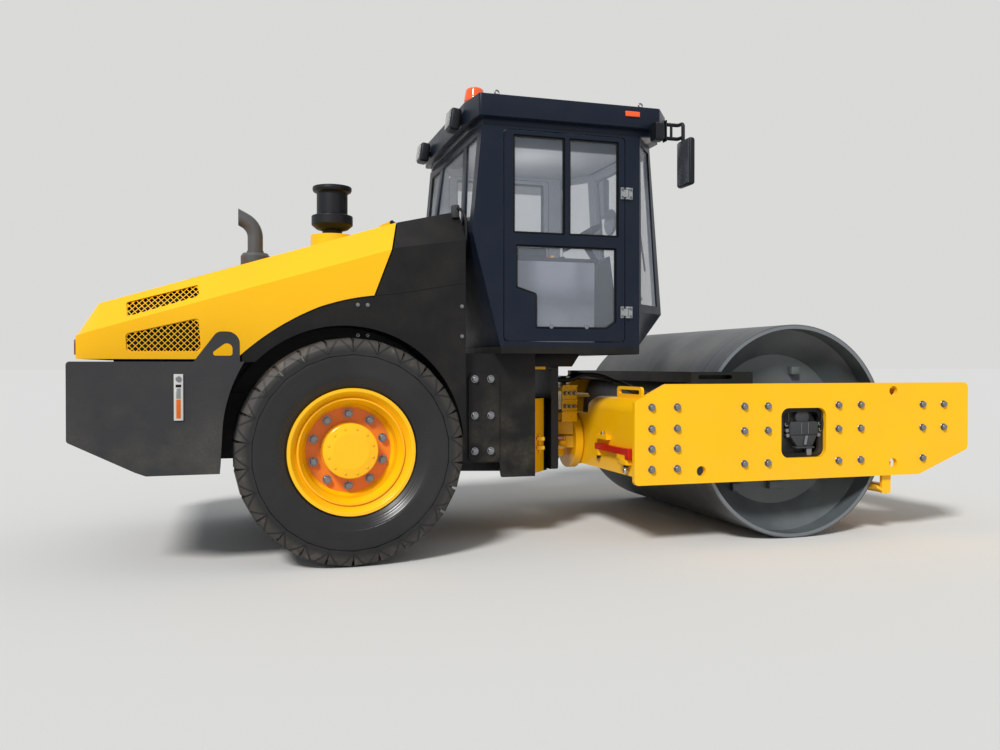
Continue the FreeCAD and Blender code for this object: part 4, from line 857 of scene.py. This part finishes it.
def on_weight(name, half, low, high, depth, finish):
    """A thin plate on the counterweight's right side."""
    outer, inner = -weight_out - depth, -weight_out + 0.002
    plate = block((gauge_x - half, outer, low), (gauge_x + half, inner, high), 0.003)
    mounted(name, [plate], "rear_frame", finish)


on_weight("gauge_frame", 0.026, 0.908, 1.178, 0.010, PALE_PLASTIC)
on_weight("gauge_slot", 0.016, 1.100, 1.118, 0.0115, VOID)
on_weight("gauge_tube", 0.013, 1.034, 1.097, 0.0115, LAMP_GLASS)
on_weight("gauge_float", 0.013, 0.920, 1.032, 0.0115, ORANGE)
knob = softened(barrel((gauge_x, -weight_out - 0.009, 1.150), "-y", 0.016, 0.008), 0.002)
mounted("gauge_knob", [knob], "rear_frame", ZINC)

# Cab: black seals round the panes, grown from the panes' own outlines.
PANES = {"door_glass_right": ((0, -1, 0), "door_right"), "door_glass_left": ((0, 1, 0), "door_left"),
         "windscreen": ((1, 0, 0), "rear_frame"), "rear_glass": ((-1, 0, 0), "rear_frame")}
for node, (direction, body) in PANES.items():
    seal = taken(node)
    facing = Vector(direction)
    pick_faces(seal, lambda centre, normal: normal.dot(facing) < 0.8)
    bpy.ops.mesh.delete(type="FACE")
    bpy.ops.mesh.select_all(action="SELECT")
    bpy.ops.mesh.inset(thickness=0.014)
    bpy.ops.mesh.delete(type="FACE")
    done()
    walls = seal.modifiers.new("Wall", "SOLIDIFY")
    walls.thickness = 0.008
    walls.offset = 1
    choose(seal)
    bpy.ops.object.modifier_apply(modifier=walls.name)
    mounted(node + "_seal", [softened(seal, 0.002, 1)], body, SEAL)

# Cab: hinge bolts and glass clamps.
hinge_x = axle_x + 1.948
hinge_out = 0.813
for side_name, side in SIDES:
    door = "door_" + side_name
    for group, offset, body in (("door", -0.033, door), ("post", 0.030, "rear_frame")):
        places = [(hinge_x + offset, side * hinge_out, z + up) for z in (1.6, 2.43) for up in (-0.026, 0.026)]
        bolts = copied(hex_bolt(side, *HINGE_BOLT), places)
        mounted("hinge_bolts_%s_%s" % (group, side_name), bolts, body, ZINC)
    clamps = [softened(barrel((axle_x + x, side * 0.783, 1.493), outwards(side), 0.015, 0.013), 0.002, 1)
              for x in (1.394, 1.654)]
    mounted("glass_clamps_" + side_name, clamps, door, ZINC)

# Roof: lifting eyes, side markers and the front lamps' glass.
roof_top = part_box("cab_roof")[1].z
roof_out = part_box("cab_roof")[1].y
for side_name, side in SIDES:
    eyes = []
    for x in (1.005, 2.06):
        foot = (axle_x + x, side * 0.79, roof_top - 0.001)
        eyes.append(softened(barrel(foot, "+z", 0.015, 0.012), 0.002, 1))
        eyes.append(ring((foot[0], foot[1], roof_top + 0.027), "+y", 0.014, 0.0055))
    mounted("roof_eyes_" + side_name, eyes, "rear_frame", ZINC)
    marker_y = sorted((side * (roof_out - 0.002), side * (roof_out + 0.012)))
    marker_low = (axle_x + 1.915, marker_y[0], 2.955)
    marker = block(marker_low, (axle_x + 2.025, marker_y[1], 2.992), 0.006, 3)
    mounted("side_marker_" + side_name, [marker], "rear_frame", AMBER)
    lamp_y = side * 0.909
    lamp_low = (axle_x + 2.158, lamp_y - 0.038, 2.7955)
    glass = block(lamp_low, (axle_x + 2.168, lamp_y + 0.038, 2.8995), 0.005, 3)
    mounted("lamp_front_" + side_name, [glass], "rear_frame", LAMP_GLASS)

# Mirrors: silvered panes on their rear faces.
mirror_rear = axle_x + 2.415
for side_name, side in SIDES:
    pane_y = side * 0.75
    pane_low = (mirror_rear - 0.002, pane_y - 0.084, 2.532)
    pane = block(pane_low, (mirror_rear + 0.004, pane_y + 0.084, 2.843), 0.0025, 2)
    mounted("mirror_pane_" + side_name, [pane], "rear_frame", MIRROR_GLASS)
round_pane = softened(barrel((axle_x + 2.482, 0.7, 2.485), "-x", 0.106, 0.004, 40), 0.001, 1)
mounted("mirror_pane_round", [round_pane], "rear_frame", MIRROR_GLASS)

# Windscreen: a wiper from the sill, and its blade.
screen_low, screen_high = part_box("windscreen")
lean_x = (screen_high.x - screen_low.x - 0.008) / (screen_high.z - screen_low.z)


def on_screen(y, z, out=0.02):
    """A point a little way out from the leaning windscreen."""
    return (screen_high.x - (z - screen_low.z) * lean_x + out, y, z)


motor = softened(barrel(on_screen(-0.02, 1.668, 0.0), "+x", 0.022, 0.03), 0.003)
arm = tube([on_screen(-0.02, 1.668, 0.024), on_screen(-0.09, 1.85, 0.03), on_screen(-0.22, 2.1, 0.028),
            on_screen(-0.26, 2.22, 0.014)], 0.006)
blade = tube([on_screen(-0.30, 1.95, 0.010), on_screen(-0.27, 2.15, 0.010), on_screen(-0.25, 2.35, 0.010),
              on_screen(-0.23, 2.5, 0.010)], 0.007)
mounted("wiper", [motor, arm, blade], "rear_frame", PLASTIC)

# Drum: lugs and weights welded on the heads.
head_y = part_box("drum")[1].y - 0.265
for side_name, side in SIDES:
    lugs = []
    for x, z, size in ((0.16, 0.43, 0.035), (-0.33, -0.415, 0.035), (0.0, -0.41, 0.06)):
        near, far = sorted((side * (head_y - 0.002), side * (head_y + 0.045)))
        lug_low = (drum_x + x - size, near, drum_z + z - 0.03)
        lugs.append(block(lug_low, (drum_x + x + size, far, drum_z + z + 0.03), 0.006))
    mounted("drum_lugs_" + side_name, lugs, "drum", DRUM)

# Left door: its handle, a bow on two feet.
bow = tube([(axle_x + 1.1, 0.799, 1.90), (axle_x + 1.1, 0.845, 1.90), (axle_x + 1.1, 0.85, 1.98),
            (axle_x + 1.1, 0.845, 2.06), (axle_x + 1.1, 0.799, 2.06)], 0.009, 4)
mounted("door_grip_left", [bow], "door_left", PLASTIC)

# Cab's front corners: a pane on each slanting side, between the door post and the windscreen.
front_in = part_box("cab_front")[0].x
nose_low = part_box("cab_front")[1].x
sill_z, eave_z = 1.607, 2.840
cab_out = 0.8


def corner_point(side, along, out, z):
    """A point of a slanting front side: how far along it from the post, from 0 to 1, and how far out."""
    nose = nose_low - (z - sill_z) / (eave_z - sill_z) * 0.0995
    start = Vector((front_in, side * cab_out, z))
    way = Vector((nose, side * 0.5, z)) - start
    return start + way * along + Vector((-side * way.y, side * way.x, 0)).normalized() * out


def corner_slab(side, ends, outs, heights):
    return hexahedron([corner_point(side, along, out, z) for along in ends for out in outs for z in heights])


corners = taken("cab_front")
cut_out(corners, [corner_slab(side, (0.075, 0.83), (-0.11, 0.08), (1.662, 2.788)) for _, side in SIDES])
mounted("cab_corner_posts", [corners], "rear_frame", CAB)
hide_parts("cab_front")
for side_name, side in SIDES:
    pane = corner_slab(side, (0.07, 0.835), (-0.018, -0.012), (1.655, 2.795))
    mounted("corner_pane_" + side_name, [pane], "rear_frame", GLASS)
    clamp = softened(barrel(corner_point(side, 0.12, -0.014, 1.70), outwards(side), 0.014, 0.014), 0.002, 1)
    mounted("corner_clamp_" + side_name, [clamp], "rear_frame", ZINC)

# Cab's rear: a leaning bar on each side of the window's middle pane.
for side_name, side in SIDES:
    bar = hexahedron([(axle_x + x + (z - 2.2) * 0.0947, side * (0.487 - (z - 2.2) * 0.216 + y), z)
                      for x in (0.842, 0.862) for y in (-0.05, 0.05) for z in (2.195, 2.785)])
    mounted("rear_bar_" + side_name, [softened(bar, 0.003)], "rear_frame", CAB)

# Roof: its rim stands out over a step all round.
rim_z = 2.884
step_shrink = 0.945
upper, lower = taken("cab_roof"), taken("cab_roof")
roof_low, roof_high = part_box("cab_roof")


def roof_layer(low_z, high_z):
    """A cutter that is wider than the roof all round."""
    return cuboid((roof_low.x - 0.1, roof_low.y - 0.1, low_z), (roof_high.x + 0.1, roof_high.y + 0.1, high_z))


cut_out(upper, [roof_layer(2.7, rim_z)])
middle_x = (roof_low.x + roof_high.x) / 2
choose(lower)
bpy.ops.transform.resize(value=(step_shrink, step_shrink, 1), center_override=(middle_x, 0, 2.9))
place_applied(lower)
cut_out(lower, [roof_layer(rim_z + 0.002, 3.2)])
roof = mounted("roof_shell", [softened(upper, 0.004), softened(lower, 0.003)], "rear_frame", ROOF)
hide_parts("cab_roof")

# Beacon: an amber dome on a black base.
beacon_low, beacon_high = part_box("beacon")
beacon_x, beacon_y = (beacon_low.x + beacon_high.x) / 2, (beacon_low.y + beacon_high.y) / 2
foot = softened(barrel((beacon_x, beacon_y, roof_top + 0.0003), "+z", 0.076, 0.024, 40), 0.003)
mounted("beacon_base", [foot], "rear_frame", PLASTIC)
dome = barrel((beacon_x, beacon_y, roof_top + 0.024), "+z", 0.078, 0.108, 40)
pick_faces(dome, lambda centre, normal: normal.z > 0.9)
bpy.ops.transform.resize(value=(0.76, 0.76, 1), center_override=(beacon_x, beacon_y, roof_top + 0.132))
done()
dome = mounted("beacon_dome", [softened(dome, 0.022, 5)], "rear_frame", AMBER)
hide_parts("beacon")

# Roof's rear lamps: deep housings round the CAD lamps, facing down and back.
LEAN = math.radians(-8)
for side_name, side in SIDES:
    low_y, high_y = side * 0.5 - 0.07, side * 0.5 + 0.07
    housing = block((axle_x + 0.742, low_y, 2.850), (axle_x + 0.816, high_y, 3.000), 0.018, 4)
    tail = turned(housing, LEAN, "Y", (axle_x + 0.78, side * 0.5, 2.93))
    mounted("lamp_shell_" + side_name, [tail], "rear_frame", PLASTIC)
    front = block((axle_x + 0.734, low_y + 0.012, 2.866), (axle_x + 0.744, high_y - 0.012, 2.984), 0.004, 2)
    front = turned(front, LEAN, "Y", (axle_x + 0.78, side * 0.5, 2.93))
    mounted("lamp_face_" + side_name, [front], "rear_frame", LAMP_GLASS)

# Cab: the grey console at the right of the seat, with its rest, knobs and lever.
console = block((axle_x + 1.19, -0.428, 1.3605), (axle_x + 1.87, -0.286, 1.987), 0.012, 3)
mounted("side_console", [console], "rear_frame", LILAC)
trim = block((axle_x + 1.188, -0.430, 1.986), (axle_x + 1.872, -0.284, 2.012), 0.006)
rest = block((axle_x + 1.27, -0.415, 2.008), (axle_x + 1.50, -0.30, 2.085), 0.018, 3)
gaiter = softened(barrel((axle_x + 1.63, -0.36, 2.010), "+z", 0.028, 0.018), 0.004)
mounted("console_trim", [trim, rest, gaiter], "rear_frame", PLASTIC)
for name, x, finish in (("stop_knob", 1.505, RED), ("horn_knob", 1.545, YELLOW)):
    knob = softened(barrel((axle_x + x, -0.40, 2.010), "+z", 0.013, 0.02), 0.003)
    mounted(name, [knob], "rear_frame", finish)
lever = tube([(axle_x + x, -0.36, z) for x, z in ((1.63, 2.02), (1.632, 2.07), (1.63, 2.11))], 0.010, 4)
mounted("travel_lever", [lever], "rear_frame", WHITE)

# Cowl: a bracket and its stay at the top front corners.
for side_name, side in SIDES:
    bracket_y = side * 0.59
    plate_low = (axle_x + 0.742, bracket_y - 0.03, 2.235)
    plate = block(plate_low, (axle_x + 0.792, bracket_y + 0.03, 2.325), 0.008)
    mounted("cowl_bracket_" + side_name, [plate], "rear_frame", IRON)
    bends = ((0.775, 0.6, 2.30), (0.79, 0.66, 2.295), (0.815, 0.71, 2.22), (0.816, 0.715, 2.10),
             (0.805, 0.715, 2.03))
    stay = tube([(axle_x + x, side * y, z) for x, y, z in bends], 0.0105, 4)
    mounted("cowl_stay_" + side_name, [stay], "rear_frame", SEAL)

# Hood: near-black sheets on the counterweight's top, inside the hood, as painted shade that closes the gap
# under the hood.
shade_sheet_foot, shade_sheet_top = 1.252, 1.325
shade_sheet_rear = axle_x - 1.39
for side_name, side in SIDES:
    shade_sheet_y = side * 0.655
    shade_sheet_low = (shade_sheet_rear, shade_sheet_y - 0.004, shade_sheet_foot)
    shade_sheet = block(shade_sheet_low, (axle_x - 0.70, shade_sheet_y + 0.004, shade_sheet_top), 0.002)
    mounted("air_baffle_" + side_name, [shade_sheet], "rear_frame", VOID)
across = block((shade_sheet_rear, -0.651, shade_sheet_foot), (shade_sheet_rear + 0.008, 0.651, shade_sheet_top), 0.002)
mounted("air_baffle_rear", [across], "rear_frame", VOID)

# Front frame: the drive motor seen in each plate's window, with its fittings and hoses.
MOTOR_HOSES = ((0.168, 0.815), (0.172, 0.772), (-0.105, 0.812))
MOTOR_NUTS = (*MOTOR_HOSES, (-0.100, 0.770), (-0.095, 0.735), (0.160, 0.735))
carrier_out = 1.0795
for side_name, side in SIDES:
    def slab(low_x, high_x, low_z, high_z, near, far, radius=0.006):
        """A block measured from the drum's axle, between two distances out on this side."""
        ys = sorted((side * near, side * far))
        return block((drum_x + low_x, ys[0], low_z), (drum_x + high_x, ys[1], high_z), radius)

    towards = outwards(side)
    body = slab(-0.085, 0.150, 0.735, 0.832, carrier_out, 1.130, 0.014)
    funnel = hexahedron([(drum_x + x, side * y, z) for near_x, far_x in ((-0.02, -0.08), (0.10, 0.145))
                         for y in (carrier_out, 1.122) for x, z in ((near_x, 0.655), (far_x, 0.737))])
    cap = softened(barrel((drum_x + 0.03, side * 1.079, 0.862), towards, 0.055, 0.030, 32), 0.004)
    flange = slab(-0.035, 0.115, 0.643, 0.656, carrier_out, 1.130, 0.003)
    case = [body, softened(funnel, 0.004), cap, flange]
    mounted("motor_case_" + side_name, case, "front_frame", IRON)
    bright = [slab(x, x + 0.004, 0.745, 0.825, 1.128, 1.1325, 0.001) for x in (0.005, 0.060)]
    spool = slab(0.030, 0.052, 0.668, 0.735, 1.12, 1.136, 0.004)
    spool = turned(spool, math.radians(-12), "Y", (drum_x + 0.04, side * 1.12, 0.7))
    stub = slab(0.060, 0.105, 0.588, 0.643, carrier_out, 1.115, 0.006)
    brow = slab(-0.045, 0.145, 0.902, 0.926, carrier_out, 1.105, 0.004)
    nuts = [softened(barrel((drum_x + x, side * 1.079, z), towards, 0.016, 0.040, 6), 0.002, 1)
            for x, z in MOTOR_NUTS]
    mounted("motor_fittings_" + side_name, bright + [spool, stub, brow] + nuts, "front_frame", ZINC)
    lines = [tube([(drum_x + x, side * 1.112, z), (drum_x + x + 0.004, side * 1.128, z + 0.01),
                   (drum_x + x + 0.016, side * 1.122, z + 0.05), (drum_x + x + 0.012, side * 1.10, z + 0.12),
                   (drum_x + x - 0.02, side * 1.082, 0.925)], 0.0085, 3) for x, z in MOTOR_HOSES]
    mounted("motor_hoses_" + side_name, lines, "front_frame", HOSE)

# Cab mounts: gussets between the neck's top and the cab floor.
floor_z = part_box("cab_floor")[0].z
neck_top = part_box("frame_neck")[1].z
for side_name, side in SIDES:
    ys = sorted((side * 0.30, side * 0.45))
    heights = (neck_top - 0.02, floor_z - 0.0003)
    gusset = hexahedron([(x, y, z) for reach in ((-0.10, -0.10), (0.185, 0.245)) for y in ys
                         for x, z in zip(reach, heights)])
    mounted("cab_mount_" + side_name, [softened(gusset, 0.004)], "rear_frame", BLACK)

# Mirrors: rounded heads on bent tubes.
mirror_x = axle_x + 2.440
wall_x = axle_x + 2.325
parts = []
for side_name, side in SIDES:
    low_y, high_y = side * 0.75 - 0.0955, side * 0.75 + 0.0955
    parts.append(block((mirror_x - 0.0255, low_y, 2.519), (mirror_x + 0.026, high_y, 2.856), 0.020, 4))
    inner_y, outer_y = side * 0.640, side * 0.708
    for z, drops in ((2.985, (2.93, 2.845)), (2.885, ())):
        arm = [(x, inner_y, z) for x in (wall_x, mirror_x - 0.04, mirror_x)]
        arm += [(mirror_x, outer_y, height) for height in (z, *drops)]
        parts.append(tube(arm, 0.0135, 5))
    parts.append(barrel((mirror_x - 0.06, inner_y, 2.887), "+z", 0.010, 0.096, 16))
    foot_y = sorted((side * 0.612, side * 0.668))
    parts.append(block((wall_x - 0.0015, foot_y[0], 2.858), (wall_x + 0.0085, foot_y[1], 3.012), 0.003))
parts.append(softened(barrel((mirror_x + 0.040, 0.7, 2.485), "+x", 0.115, 0.026, 40), 0.010, 3))
hook = ((0.02, 2.53), (0.04, 2.555), (0.055, 2.53), (0.055, 2.49))
parts.append(tube([(mirror_x + x, 0.7, z) for x, z in hook], 0.008))
heads = mounted("mirror_heads", parts, "rear_frame", PLASTIC)
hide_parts("mirrors")

# Front frame: the lock bar's lower lug, its pins and the pull knob.
lug = block((0.336, -1.058, 0.556), (0.3786, -0.932, 0.594), 0.004)
mounted("lock_lug", [lug], "front_frame", YELLOW)
pin = softened(barrel((0.362, -0.60, 0.7295), "+z", 0.016, 0.024, 20), 0.002)
knob_top = softened(barrel((0.357, -1.0, 0.500), "+z", 0.019, 0.026, 24), 0.005, 3)
collar = softened(barrel((0.357, -1.0, 0.528), "+z", 0.010, 0.012, 20), 0.001, 1)
mounted("lock_pins", [pin, knob_top, collar], "front_frame", CHROME)
neck = [softened(barrel((0.357, -1.0, 0.536), "+z", 0.015, 0.022, 20), 0.002),
        softened(barrel((0.362, -0.52, 0.553), "+z", 0.011, 0.026, 20), 0.003)]
mounted("lock_pin_necks", neck, "front_frame", PLASTIC)

# Hitch: a bracket with fittings over the yoke, and the bar that clamps the hoses above the pivot.
wall_y = -0.172
bracket = [block((0.205, -0.186, 0.800), (0.330, wall_y, 1.080), 0.003),
           block((0.205, -0.205, 1.066), (0.330, wall_y, 1.080), 0.003)]
bracket += [block((0.205, -0.200, z), (0.330, wall_y, z + 0.012), 0.003) for z in (0.955, 0.868)]
post = block((0.222, -0.186, 1.06), (0.262, -0.06, 1.086), 0.004)
mounted("hose_bracket", bracket + [post], "hitch", YELLOW)
nuts = []
for x in (0.232, 0.268, 0.304):
    for z in (0.918, 1.018):
        nuts.append(softened(barrel((x, -0.184, z), "-y", 0.017, 0.022, 6), 0.002, 1))
        nuts.append(softened(barrel((x, -0.204, z), "-y", 0.011, 0.018, 16), 0.002, 1))
mounted("hose_fittings", nuts, "hitch", ZINC)
HOSES = [-0.20 + 0.045 * i for i in range(5)]
CLAMP_LAYERS = ((1.084, 1.104), (1.134, 1.150))
clamp = [block((0.226, -0.222, low_z), (0.258, 0.002, high_z), 0.004) for low_z, high_z in CLAMP_LAYERS]
mounted("hose_clamp", clamp, "hitch", ZINC)
# The hoses bend in two parts, one from the rear frame to the clamp and one from there to the front frame.
plate_face = 0.0885
clamped = (0.242, 1.119)
rear_hoses = joined("hoses_rear", [
    tube([(plate_face - 0.004, y - 0.03, 1.075), (0.115, y - 0.03, 1.085), (0.16, y - 0.015, 1.125),
          (0.205, y, 1.121), (clamped[0], y, clamped[1])], 0.0155, 4) for y in HOSES])
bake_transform(finished(rear_hoses, HOSE))


def front_route(i, y):
    """The way of one hose from the clamp, over the cross-beam and along inside the right side plate."""
    over_beam = [(clamped[0], y, clamped[1]), (0.28, y, 1.120), (0.36, y - 0.03, 1.165),
                 (0.47, y - 0.14, 1.155)]
    across = [(0.548, -0.45 - 0.02 * i, 1.10), (0.565 + 0.004 * i, -0.68, 1.03 + 0.006 * i),
              (0.572 - 0.028 * i, -0.86, 1.035 + 0.008 * i), (0.585, -1.02 + 0.012 * i, 1.02)]
    along = [(0.70, -1.090, 0.985), (0.82, -1.0905, 0.93 - 0.03 * i), (1.05, -1.0905, 0.86 - 0.028 * i),
             (1.22, -1.0905, 0.83 - 0.028 * i)]
    return over_beam + across + along


front_hoses = joined("hoses_front", [tube(front_route(i, y), 0.0145, 4) for i, y in enumerate(HOSES)])
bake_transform(finished(front_hoses, HOSE))

# Seat: cushion and back, blown up as cloth.


def upholstered(node, shrink, cap):
    """A CAD cushion's shape filled out as cloth over foam."""
    pad = taken(node)
    low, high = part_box(node)
    middle = (low + high) / 2
    choose(pad)
    shares = [1 - 2 * shrink / (b - a) for a, b in zip(low, high)]
    bpy.ops.transform.resize(value=shares, center_override=middle)
    place_applied(pad)
    net = pad.modifiers.new("Net", "REMESH")
    net.mode = "VOXEL"
    net.voxel_size = 0.006
    bpy.ops.object.modifier_apply(modifier=net.name)
    before = [point.co.copy() for point in pad.data.vertices]
    cloth = pad.modifiers.new("Cloth", "CLOTH")
    cloth.settings.use_pressure = True
    cloth.settings.uniform_pressure_force = 4
    cloth.settings.effector_weights.gravity = 0
    for moment in range(1, 21):
        bpy.context.scene.frame_set(moment)
    choose(pad)
    bpy.ops.object.modifier_apply(modifier=cloth.name)
    bpy.context.scene.frame_set(1)
    for point, was in zip(pad.data.vertices, before):
        moved = point.co - was
        if moved.length > cap:
            point.co = was + moved.normalized() * cap
    finer = pad.modifiers.new("Finer", "SUBSURF")
    finer.levels = finer.render_levels = 1
    choose(pad)
    bpy.ops.object.modifier_apply(modifier=finer.name)
    bpy.ops.object.shade_smooth()
    return pad


start_shrink, most_swell = 0.012, 0.022
for node in ("seat_cushion", "seat_back"):
    pad = mounted(node + "_pad", [upholstered(node, start_shrink, most_swell)], "rear_frame", CLOTH)
    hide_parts(node)
